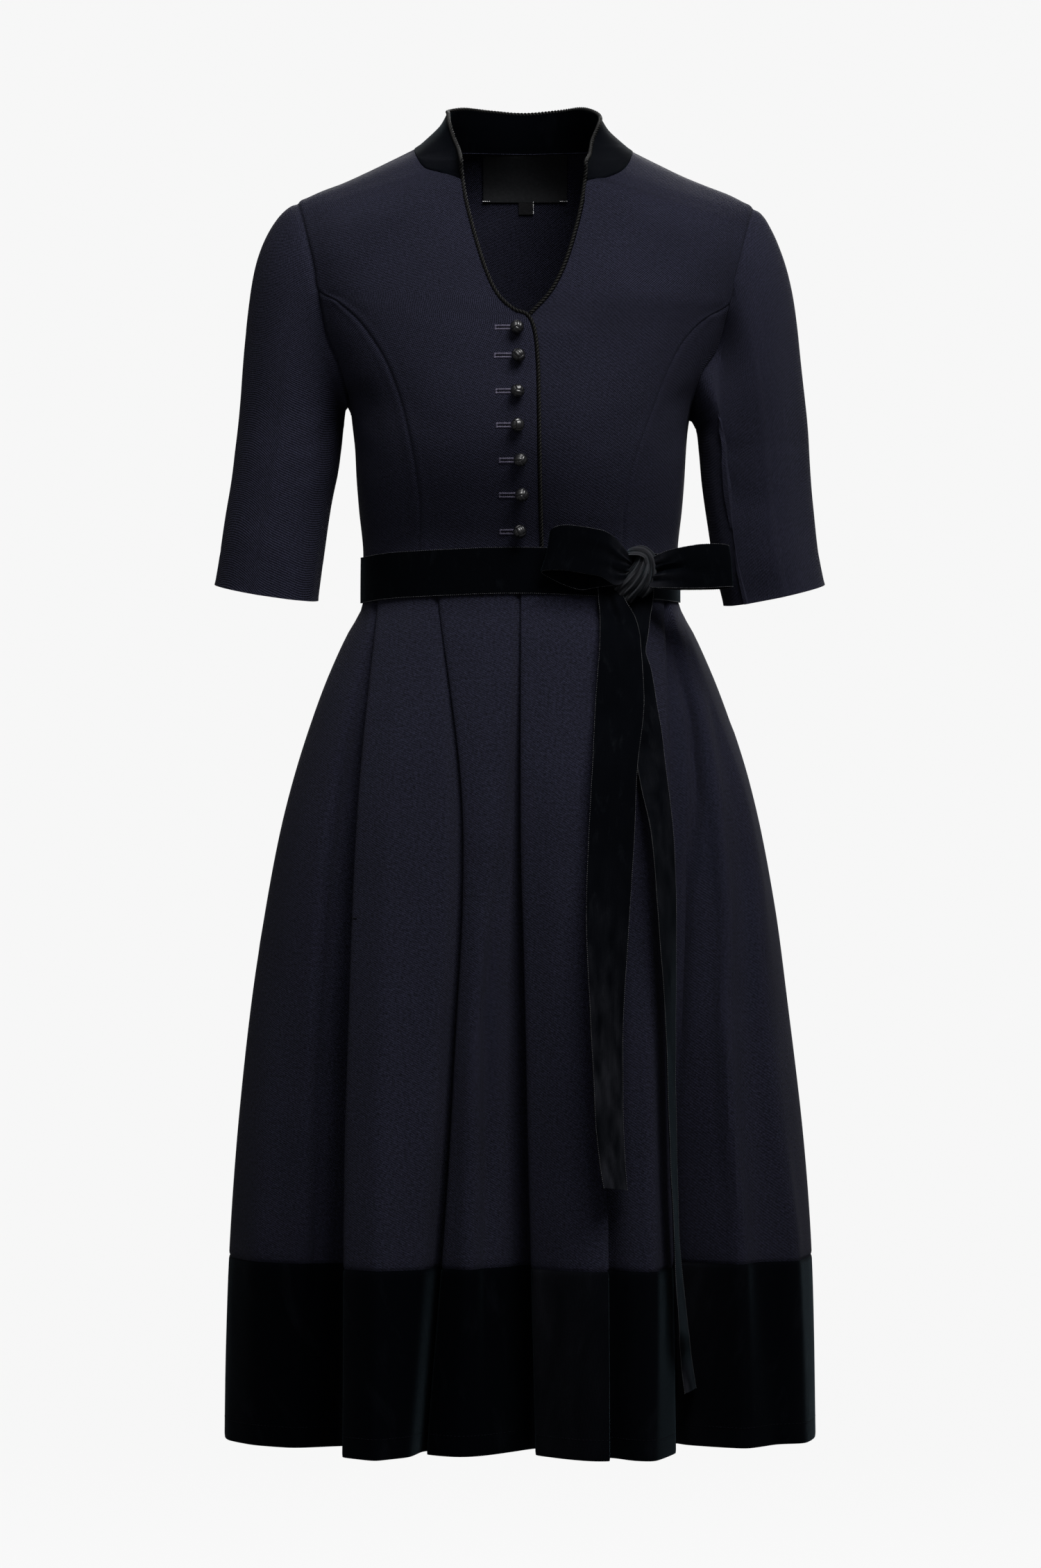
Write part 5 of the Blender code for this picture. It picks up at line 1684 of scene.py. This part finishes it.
frontLines = foldLines(frontFolds)
backLines = mirroredFolds(foldLines(backHalfFolds))
skirtGrids = {}
for where, folds, face in (("Front", frontLines, -1), ("Back", backLines, 1)):
    for piece, node, low, high, step, *look in skirtFinish["parts"]:
        heights = evenHeights(low, high, step)
        name = piece + where
        skirtGrids[name] = skirtPanel(name, f"{node}_{where.lower()}", folds, face, heights, *look)
print("skirt is made")

# Ribbon round the waist

ribbonFinish = {
    "rounds": 260,
    "rows": 10,
    "wall": 0.9,
    "waves": ((0.5, 3, 0.6), (0.3, 7, 0)),  # height, waves to a round, start
    "noise": {"height": 0.5, "size": 30.0, "seed": 31, "stretch": (1, 1, 0.5), "least": 0.6},
}
ribbonGrids = {}


def makeBelt():
    shape, rough = ribbonFinish, ribbonFinish["noise"]
    halfWidth, front, rear = bodyAt(waist)
    rows = []
    for share in np.linspace(0, 1, shape["rows"]):
        row = []
        for step in range(shape["rounds"]):
            turn = 2 * math.pi * step / shape["rounds"]
            face = -1 if math.sin(turn) < 0 else 1
            depth = (front if face < 0 else rear) + beltClearance + ribbonWall
            across = abs(math.cos(turn)) ** (2 / bodySquareness)
            along = abs(math.sin(turn)) ** (2 / bodySquareness)
            x = math.copysign((halfWidth + beltClearance + ribbonWall) * across, math.cos(turn))
            height = beltTop - ribbonWidth * (1 - share) - beltSideDrop * across**2
            height += sum(size * math.sin(count * turn + start) for size, count, start in shape["waves"])
            row.append((x, face * depth * along, height))
        rows.append(row)
    grid = np.array(rows)
    normals = gridNormals(grid, True)
    uneven = softNoise(grid * rough["stretch"], rough["size"], rough["seed"])
    lift = rough["height"] * (rough["least"] + uneven)
    grid = grid + normals * np.maximum(lift, 0)[..., None]
    settings = {"restsOn": ["frontRight"], "wraps": True, "normals": normals}
    sewn("waistRibbon", grid, shape["wall"], "ribbon", "velvet", "stretched", "waist_ribbon", **settings)
    ribbonGrids["waistRibbon"] = grid


makeBelt()

# Stitching on the skirt: a bar at the pocket's end and a fine row above the hem

skirtStitches = {
    "tack": (-134.0, -128.6, -614.0),  # low x, high x, height
    "tackThread": (0.00045, 0.0016, 0.00022, 1.0, 0.1),
    "hemRise": 19.0,
    "hemThread": (0.0034, 0.0019, 0.00012, 0.0, 0.15),
    "lift": 0.15,
}


def stitchSkirt(band):
    shape = skirtStitches
    tree = surfaceFinder(pieces["skirtFront"])
    low, high, height = shape["tack"]
    tack = [(x, foremost(tree, x, height) - shape["lift"], height) for x in np.linspace(low, high, 6)]
    stitched("pocketTack", [(tack, False)], "dark", "thread", shape["tackThread"])
    row = np.abs(band[:, 0, 2] - (hem + shape["hemRise"])).argmin()
    line = band[row] + (0, -shape["lift"], 0)
    stitched("hemStitches", [(line, False)], "dark", "thread", shape["hemThread"])


stitchSkirt(skirtGrids["hemBandFront"])

# The bow: each loop as (top edge x, y, z, bottom edge x, y, z) from the knot out and back

bow = {
    "steps": 8,
    "columns": 15,
    "wall": 0.9,
    "loops": {
        "bowLoopInner": (
            (87.5, -96, -330, 86.0, -96, -345),
            (78.4, -103, -318.2, 75.7, -103, -351.1),
            (69.0, -108, -310.1, 64.1, -108, -344.7),
            (58.0, -111, -307.0, 53.1, -111.5, -342.6),
            (38.9, -112, -304.3, 36.7, -113, -339.9),
            (29.0, -112, -305.1, 26.3, -113, -339.4),
            (24.6, -110, -308.0, 18.6, -110, -339.8),
            (24.1, -106, -311.2, 17.0, -106, -341.8),
            (28.0, -102.5, -312.7, 24.7, -104, -346.2),
            (35.1, -100.5, -314.2, 34.6, -102.5, -350.8),
            (46.1, -99, -316.4, 47.7, -101, -354.6),
            (58.8, -97, -319.6, 60.9, -98, -352.6),
            (70.9, -94.5, -323.9, 73.1, -95, -350.8),
            (84.0, -90, -330, 85.0, -90, -346),
        ),
        "bowLoopOuter": (
            (98.3, -96, -331.6, 99.4, -96, -350.3),
            (105.9, -99, -328.4, 104.3, -99, -352.6),
            (113.6, -101, -324.9, 114.7, -101.5, -352.9),
            (124.0, -102.5, -322.0, 125.6, -103, -353.3),
            (142.1, -103, -319.0, 142.0, -103.5, -353.3),
            (157.5, -101.5, -318.7, 160.2, -101.5, -352.4),
            (164.2, -98, -319.6, 167.5, -98, -352.0),
            (164.3, -93, -321.1, 167.6, -93, -352.4),
            (156.8, -88.5, -322.0, 159.5, -89, -353.9),
            (139.8, -85, -323.0, 140.3, -86, -354.4),
            (123.3, -83.5, -325.1, 123.9, -84, -354.3),
            (109.6, -83.5, -329.0, 110.1, -84, -353.2),
            (101.8, -86, -332.4, 102.9, -86, -349.4),
        ),
    },
    # creases that run out from the knot: share across the ribbon, reach (mm), depth, sideways bend
    "creases": {
        "bowLoopInner": (
            (0.14, 20, 1.8, 0.05), (0.34, 26, 2.2, 0.06), (0.55, 18, 1.6, -0.04),
            (0.74, 30, 2.2, -0.06), (0.9, 16, 1.4, 0),
        ),
        "bowLoopOuter": (
            (0.16, 24, 1.8, 0.08), (0.38, 40, 2.8, 0.16), (0.6, 34, 2.4, -0.12),
            (0.8, 26, 2.2, -0.1), (0.93, 15, 1.2, 0),
        ),
    },
    "creaseWidths": (0.05, 0.1),  # share of the ribbon at the knot, and at the reach
    "belly": {"height": 0.8, "from": 40},
    "noise": {"height": 0.5, "size": 16.0, "seed": 41},
    # painted sheen near the knot: reach (mm), and crease depth (mm) at which it is gone
    "lit": 17.0,
    "unlitFold": 1.2,
}


def makeLoop(name, node):
    stations = np.array(bow["loops"][name], float)
    places = cellPlaces(len(stations) - 1, bow["steps"])
    top = through(stations[:, :3], places)
    bottom = through(stations[:, 3:], places)
    shares = np.linspace(0, 1, bow["columns"])
    grid = bottom[None] + shares[:, None, None] * (top - bottom)[None]
    run = runLengths((top + bottom) / 2)
    fromKnot = np.minimum(run, run[-1] - run)
    narrow, wide = bow["creaseWidths"]
    folded = np.zeros(grid.shape[:2])
    for share, reach, depth, bend in bow["creases"][name]:
        opened = np.clip(fromKnot / reach, 0, 1)
        spread = narrow + (wide - narrow) * opened
        away = shares[:, None] - (share + bend * np.sin(opened * math.pi))[None]
        folded += depth * bell(away, spread[None]) * bell(fromKnot, reach)[None]
    belly = np.clip(fromKnot / bow["belly"]["from"], 0, 1)
    lift = bow["belly"]["height"] * np.sin(np.pi * shares)[:, None] * belly[None] - folded
    lift += softRelief(grid, bow["noise"])
    grid = grid + gridNormals(grid) * lift[..., None]
    # painted sheen near the knot, none inside deep creases
    lit = np.clip(1 - folded / bow["unlitFold"], 0, 1) * bell(fromKnot, bow["lit"])[None]
    sewn(name, grid, bow["wall"], "ribbon", "velvet", "folded", node, restsOn=["bowKnot"], lit=lit)
    ribbonGrids[name] = grid


makeLoop("bowLoopInner", "bow_loop_inner")
makeLoop("bowLoopOuter", "bow_loop_outer")

# The knot: a folded core, a wrap over it and a twisted band across

knot = {
    "centre": (95.2, -86.5, -341.5),
    "half": (9.6, 8.6, 17.6),
    "rings": 26,
    "sides": 36,
    "folds": {"count": 7, "depth": 0.06, "twist": 2.4},
    "bandWall": 0.8,
    "bandSteps": (7, 33),  # points to a row, points across
    "bandBulge": (1.6, 1.2),
    "bandUneven": (0.45, 5.1, 3),
    # the creases' sideways way: mm, turns along the band, start
    "bandSways": ((0.9, 0.7, 1), (0.5, 1.7, 2)),
    "smallCreases": (0.6, 2.3),
    # painted sheen on the creases' ridges, less in their hollows: least, most added, middle
    "bandLit": (0.12, 0.75, 0.45),
    # creases along the bands: number, depth, start
    "wrapCreases": (2.5, 0.5, 0.4),
    "bandCreases": (3.5, 0.55, 1.9),
    # bands as (x, y, z, half width) from one end to the other
    "wrap": (
        (87.0, -84, -329, 5), (86.5, -91, -325, 6), (90.5, -97.0, -323, 7), (97.0, -99, -323.5, 7.5),
        (102.5, -98.5, -328, 7.5), (104.8, -97.5, -337, 7), (103.8, -96.5, -347, 6.5), (100, -95, -355, 6),
        (96, -89, -359, 5),
    ),
    "band": (
        (98, -94, -325.5, 4.5), (98.2, -99, -329, 5.5), (96.6, -101, -336, 7), (93.4, -101.2, -343, 8.5),
        (88.6, -100.5, -349.5, 9.5), (83.5, -98.0, -354.5, 10), (79.5, -95.0, -358.5, 10.5),
    ),
}


def creasedBand(name, rows, creases):
    folds, depth, start = creases
    perRow, across = knot["bandSteps"]
    rows = np.array(rows, float)
    places = cellPlaces(len(rows) - 1, perRow)
    line = through(rows, places)
    ways = unit(np.gradient(line[:, :3], axis=0))
    out = line[:, :3] - np.array(knot["centre"])
    out -= ways * (out * ways).sum(axis=1, keepdims=True)
    out = unit(out)
    side = np.cross(out, ways)
    sway = sum(size * np.sin(places * rate + turns * start) for size, rate, turns in knot["bandSways"])
    full, flat = knot["bandBulge"]
    change, rate, turns = knot["bandUneven"]
    small, finer = knot["smallCreases"]
    least, most, middle = knot["bandLit"]
    grid = []
    ridges = []
    for share in np.linspace(-1, 1, across):
        bulge = full * math.cos(share * math.pi / 2) - flat * abs(share) ** 3
        uneven = 1 + change * math.sin(share * rate + turns * start)
        waves = np.cos(share * folds * np.pi + sway)
        waves = waves + small * np.cos(share * finer * folds * np.pi - sway + start)
        crease = depth * uneven * waves
        grid.append(line[:, :3] + side * (share * line[:, 3:]) + out * (bulge + crease)[:, None])
        # painted sheen: more on the crease ridges, less in the hollows
        ridges.append(least + most * np.clip(middle + crease / (1.6 * depth), 0, 1) ** 1.6)
    grid, lit = np.array(grid), np.array(ridges)
    sewn(name, grid, knot["bandWall"], "knotSheenPile", "velvet", "folded", restsOn=["bowKnot"], lit=lit)


def makeKnot():
    rings, sides, folds = knot["rings"], knot["sides"], knot["folds"]
    cx, cy, cz = knot["centre"]
    ax, ay, az = knot["half"]
    points = []
    for i in range(rings + 1):
        tilt = math.pi * i / rings
        for j in range(sides):
            turn = 2 * math.pi * j / sides
            x, y, z = math.sin(tilt) * math.cos(turn), math.sin(tilt) * math.sin(turn), math.cos(tilt)
            wave = math.cos(folds["count"] * turn + folds["twist"] * math.cos(tilt))
            fold = 1 + folds["depth"] * math.sin(tilt) * wave
            points.append((cx + ax * x * fold, cy + ay * y * fold, cz + az * z))
    points = np.array(points).reshape(rings + 1, sides, 3)
    ends = [points[0].mean(axis=0), points[-1].mean(axis=0)]
    count = (rings - 1) * sides
    faces = gridFaces(rings - 1, sides, True)
    for j in range(sides):
        k = (j + 1) % sides
        faces += [[count, k, j], [count + 1, count - sides + j, count - sides + k]]
    flat = np.concatenate([points[1:-1].reshape(-1, 3), ends])
    item = meshObject("bowKnot", flat, faces, materials["ribbon"], flat[:, [0, 2]] * mm)
    dress(item, "velvet", "bow_knot")


makeKnot()
creasedBand("knotWrap", knot["wrap"], knot["wrapCreases"])
creasedBand("knotBand", knot["band"], knot["bandCreases"])
print("bow is made")

# The two hanging ends

endFinish = {
    "rowStep": 5.0,
    "columns": 13,
    "wall": 0.9,
    "proud": 1.2,
    # outline seen from the front near the knot: height, left, right
    "shapes": {
        "front": (
            (-345, 61, 76), (-350, 61.4, 76.5), (-356, 61.7, 79.5), (-362.5, 62, 82.6), (-375, 63, 90),
            (-387, 63, 93.6), (-402, 62.5, 95), (-420, 61, 96.3), (-443, 59.3, 97),
        ),
        "back": (
            (-354, 84, 105.5), (-362, 81, 105), (-375, 78, 102.8), (-392, 76, 100.6), (-404, 76, 98.8),
            (-415, 77, 102.3), (-431, 79, 105.3), (-444, 81, 107), (-468, 88, 111),
        ),
    },
    # how far each end tucks in under the knot, and its cut end slants
    "tuck": {"front": 7.0, "back": 2.0},
    "tuckWidth": 14,
    "slant": {"front": 3.5, "back": -2.0},
    "slantWidth": 12,
    "creases": {
        "front": (
            (((66, -345), (74, -372), (80, -392)), 3.0, -1.6),
            (((70, -350), (79, -374), (86, -396)), 2.5, 1.2),
        ),
        "back": ((((92, -380), (90, -400), (96, -424)), 2.5, -1.4),),
    },
    "noise": {"height": 0.6, "size": 20.0, "seed": 51, "stretch": (1, 1, 0.5)},
    # painted sheen: height, amount
    "lit": {
        "front": (
            (-345, 0.2), (-375, 0.04), (-560, 0.02), (-640, 0.2), (-700, 0.55), (-760, 0.8), (-820, 0.85),
        ),
        "back": (
            (-350, 0.15), (-420, 0.08), (-500, 0.22), (-620, 0.3), (-720, 0.2), (-850, 0.15),
            (-960, 0.25), (-990, 0.8),
        ),
    },
    "litLeast": 0.55,
    "litNoise": {"height": 0.9, "size": 7.0, "seed": 61, "stretch": (1, 1, 0.35)},
    # sideways curl of the ribbon's face: height, amount (mm)
    "curl": {
        "front": (
            (-352, 0.0), (-420, 1.6), (-520, -1.4), (-620, 1.8), (-720, -1.2), (-812, 2.4),
        ),
        "back": (
            (-357, 0.0), (-450, 1.2), (-540, -1.6), (-650, 2.0), (-760, -1.2), (-880, 1.6),
            (-960, 3.0), (-988, 6.0),
        ),
    },
}


frontSteps = foldSteps(frontLines, -1)


def readCurves(rows, heights):
    # Straight between the rows, for a whole array of heights
    rows = sorted(rows)
    return np.interp(heights, [row[0] for row in rows], [row[1] for row in rows])


def skirtFrontY(lowX, highX, height):
    # The foremost depth of the pleated front between two x values
    points = fineSection(frontLines, frontSteps, max(height, hem), -1)
    return points[(points[:, 0] >= lowX) & (points[:, 0] <= highX), 1].min()


def makeEnd(where):
    shape = endFinish
    near = shape["shapes"][where]
    table = near + tuple(row for row in tails[where] if row[0] < near[-1][0] - 5)
    top, low = table[0][0], table[-1][0]
    coarse = []
    for height, left, right in table:
        rest = skirtFrontY(left - tailSideReach, right + tailSideReach, min(height, tailRestTop))
        hidden = math.sqrt(max(ribbonWidth**2 - (right - left) ** 2, 0.0))
        turn = min(hidden, tailMostTurn) * ease((tailTurnsFrom[where] - height) / tailTurnLength)
        coarse.append((height, left, right, rest - tailClearance[where], turn))
    grid = []
    for height in np.linspace(low, top, int((top - low) / shape["rowStep"])):
        left, right, rear, turn = (readCurve(coarse, height, column) for column in (1, 2, 3, 4))
        curl = readCurve(shape["curl"][where], height)
        row = []
        for share in np.linspace(0, 1, shape["columns"]):
            y = rear - turn * (1 - share) - shape["proud"] - curl * math.sin(math.pi * share)
            row.append((left + share * (right - left), y, height))
        grid.append(row)
    grid = np.array(grid)
    grid[..., 1] += shape["tuck"][where] * bell(top - grid[..., 2], shape["tuckWidth"])
    across = np.linspace(0, 1, shape["columns"])[None]
    grid[..., 2] -= shape["slant"][where] * across * bell(grid[..., 2] - low, shape["slantWidth"])
    lift = softRelief(grid, shape["noise"]) + creaseRelief(grid, shape["creases"][where])
    grid = grid + gridNormals(grid) * lift[..., None]
    lit = readCurves(shape["lit"][where], grid[..., 2])
    lit = lit * np.clip(shape["litLeast"] + softRelief(grid, shape["litNoise"]), 0, 1)
    name, node = f"ribbonEnd{where.title()}", f"ribbon_end_{where}"
    sewn(name, grid, shape["wall"], "ribbon", "velvet", "hung", node, restsOn=["bowKnot"], lit=lit)
    ribbonGrids[name] = grid.transpose(1, 0, 2)


for where in ("front", "back"):
    makeEnd(where)
print("ribbon ends are made")

# Woven edges of the ribbon

selvedge = {
    "thread": (0.0016, 0.0009, 0.00017, 0.0, 0.2),
    "proud": 0.15,
}


def selvedgePaths():
    # Both long edges of each ribbon, moved a little off the edge, away from the cloth beside it
    paths = []
    for name, grid in ribbonGrids.items():
        for edge, beside in ((0, 1), (-1, -2)):
            line = grid[edge] + unit(grid[edge] - grid[beside]) * selvedge["proud"]
            paths.append((line, name == "waistRibbon"))
    return paths


stitched("ribbonSelvedge", selvedgePaths(), "selvedge", "velvet", selvedge["thread"])

# Piping: two plies wound round each other

piping = {"Ply Radius": 0.00092, "Offset": 0.00084, "Pitch": 0.0058, "Step": 0.0009}
corners = pipingPath(fronts, collar)
line = through(corners, cellPlaces(len(corners) - 1, 6))
dress(grown("edgePiping", [(line, False)], cordTree, materials["cord"], piping), "cord", "edge_piping")
print("cord and selvedge are made")

# Knotted ball buttons

buttonFinish = {
    "radius": 5.7,
    "cells": 11,
    "strand": 0.85,
    "lift": 0.4,
    # each button's turn, then the tilt that all have
    "turns": (0.6, 1.9, 0.2, 2.6, 1.1, 0.9, 2.2),
    "turnAxis": (0.4, 1, 0.3),
    "tilt": (0.7, (1, 0.2, 0.5)),
    "cordRound": 0.6,
    "crown": 0.55,
    "weld": 0.00002,  # m
}
frontTree = surfaceFinder(pieces["frontRight"])


def makeButton(number, x, height, turn):
    # Six groups of three cords, each group square to its neighbours, as in a knotted ball
    shape = buttonFinish
    cells, radius = shape["cells"], shape["radius"]
    points = []
    faces = []
    tilt, tiltAxis = shape["tilt"]
    spin = Matrix.Rotation(turn, 3, shape["turnAxis"]) @ Matrix.Rotation(tilt, 3, tiltAxis)
    middle = Vector((x, foremost(frontTree, x, height) - radius - shape["lift"], height))
    for axis in range(3):
        for sign in (-1, 1):
            faces += gridFaces(cells + 1, cells + 1, False, len(points))
            for i in range(cells + 1):
                for j in range(cells + 1):
                    u, v = 2 * i / cells - 1, 2 * j / cells - 1
                    place = [0, 0, 0]
                    place[axis] = sign
                    place[(axis + 1) % 3] = math.tan(u * math.pi / 4)
                    place[(axis + 2) % 3] = math.tan(v * math.pi / 4)
                    ridge = abs(math.cos(1.5 * math.pi * u)) ** shape["cordRound"]
                    crown = 1 - shape["crown"] * max(abs(u), abs(v)) ** 4
                    reach = radius - shape["strand"] * (1 - ridge * crown)
                    points.append(middle + spin @ (Vector(place).normalized() * reach))
    item = meshObject(f"button{number}", points, faces, materials["knot"], smoothAngle=60)
    faceOutwards(item.data, shape["weld"])
    dress(item, "thread", f"button_{number}")


for number, ((x, height), turn) in enumerate(zip(buttons, buttonFinish["turns"]), 1):
    makeButton(number, x, height, turn)

# Worked buttonholes: two close rows of silk and a bar at the end, and the cut between them as a dark line of
# thread, painted shade for the shadow inside the cut

holes = {
    "starts": (-19.6, -20.2, -19.0, -18.5, -16.2, -16.2, -15.7),
    # mm short of the button or out past the start, points, lift off the cloth
    "row": (2, 12, 0.25),
    "rowHalf": 1.35,
    "slit": (3, 8, 0.12),
    "bar": (0.2, 6, 0.3),
    "barHalf": 1.7,
    "silk": (0.00062, 0.0015, 0.00030, 1.0, 0.15),
    "slitShadeThread": (0.0009, 0.0012, 0.00028, 0.0, 0.05),
}


def acrossFront(start, x, height, values):
    short, count, lift = values
    places = np.linspace(start, x - short, count)
    return [(at, foremost(frontTree, at, height) - lift, height) for at in places], False


def buttonholePaths():
    paths = []
    beyond, count, lift = holes["bar"]
    for (x, height), start in zip(buttons, holes["starts"]):
        for side in (-1, 1):
            paths.append(acrossFront(start, x, height + side * holes["rowHalf"], holes["row"]))
        heights = [height + at for at in np.linspace(-holes["barHalf"], holes["barHalf"], count)]
        bar = [(start - beyond, foremost(frontTree, start, at) - lift, at) for at in heights]
        paths.append((bar, False))
    return paths


# painted shade: a dark thread laid in each buttonhole's cut
slitShadeLines = [acrossFront(start, *button, holes["slit"]) for button, start in zip(buttons, holes["starts"])]
stitched("buttonholeSlitShades", slitShadeLines, "dark", "thread", holes["slitShadeThread"])
stitched("buttonholeStitches", buttonholePaths(), "silk", "thread", holes["silk"])
print("buttons are made")

# Neck label and tab, both bare

labels = {
    "wall": 0.7,
    "inset": 0.5,
    # piece, box, node, material, points across and up
    "tapes": (
        ("neckLabel", neckLabel, "neck_label", "label", (40, 22)),
        ("labelTab", sizeTab, "size_tab", "tab", (12, 10)),
    ),
    # how far the label bends: middle, height, size of a wave across and up, where the waves start
    "curl": (0.5, 0.5, 9, 12, 31),
    "tabLift": 0.3,
    "backTop": 4.6,  # above this height the back's slope is carried on
    "topSlope": 0.25,
    "tackThread": (0.0014, 0.0011, 0.0003, 0.0, 0.2),
    "tackLength": 5,
    "tackInset": 0.6,
    "tackProud": (2.6, 2.0),
}
backTree = surfaceFinder(pieces["backPanel"])


def backInside(x, height):
    top = labels["backTop"]
    inside = backTree.ray_cast((x, 0, min(height, top)), (0, 1, 0))[0].y
    return inside - labels["topSlope"] * max(0, height - top)


def labelCurl(x, height):
    middle, most, wide, high, start = labels["curl"]
    return middle + most * math.cos(x / wide) * math.sin((height + start) / high)


def makeTape(name, box, node, material, steps):
    lowX, highX, low, high = box
    grid = []
    for height in np.linspace(low, high, steps[1]):
        row = []
        for x in np.linspace(highX, lowX, steps[0]):
            curl = labelCurl(x, height) if name == "neckLabel" else labels["tabLift"]
            row.append((x, backInside(x, height) - labels["inset"] - curl, height))
        grid.append(row)
    grid = np.array(grid)
    normals = np.broadcast_to(np.array([0.0, 1.0, 0.0]), grid.shape)
    sewn(name, grid, labels["wall"], material, "label", "laid", node, restsOn=["backPanel"], normals=normals)


def tackPaths():
    # A short row at each corner of the label, and one down the tab's side
    paths = []
    lowX, highX, low, high = neckLabel
    length = labels["tackLength"]
    labelProud, tabProud = labels["tackProud"]
    for z in (high - labels["tackInset"], low + labels["tackInset"]):
        for start, end in ((lowX, lowX + length), (highX - length, highX)):
            row = [(x, backInside(x, z) - labelProud, z) for x in np.linspace(start, end, 4)]
            paths.append((row, False))
    tabX = sizeTab[1]
    heights = np.linspace(sizeTab[2] + 1, sizeTab[3] - 1, 5)
    paths.append(([(tabX, backInside(tabX, z) - tabProud, z) for z in heights], False))
    return paths


for tape in labels["tapes"]:
    makeTape(*tape)
stitched("labelTacks", tackPaths(), "tack", "label", labels["tackThread"])
print("labels are made")
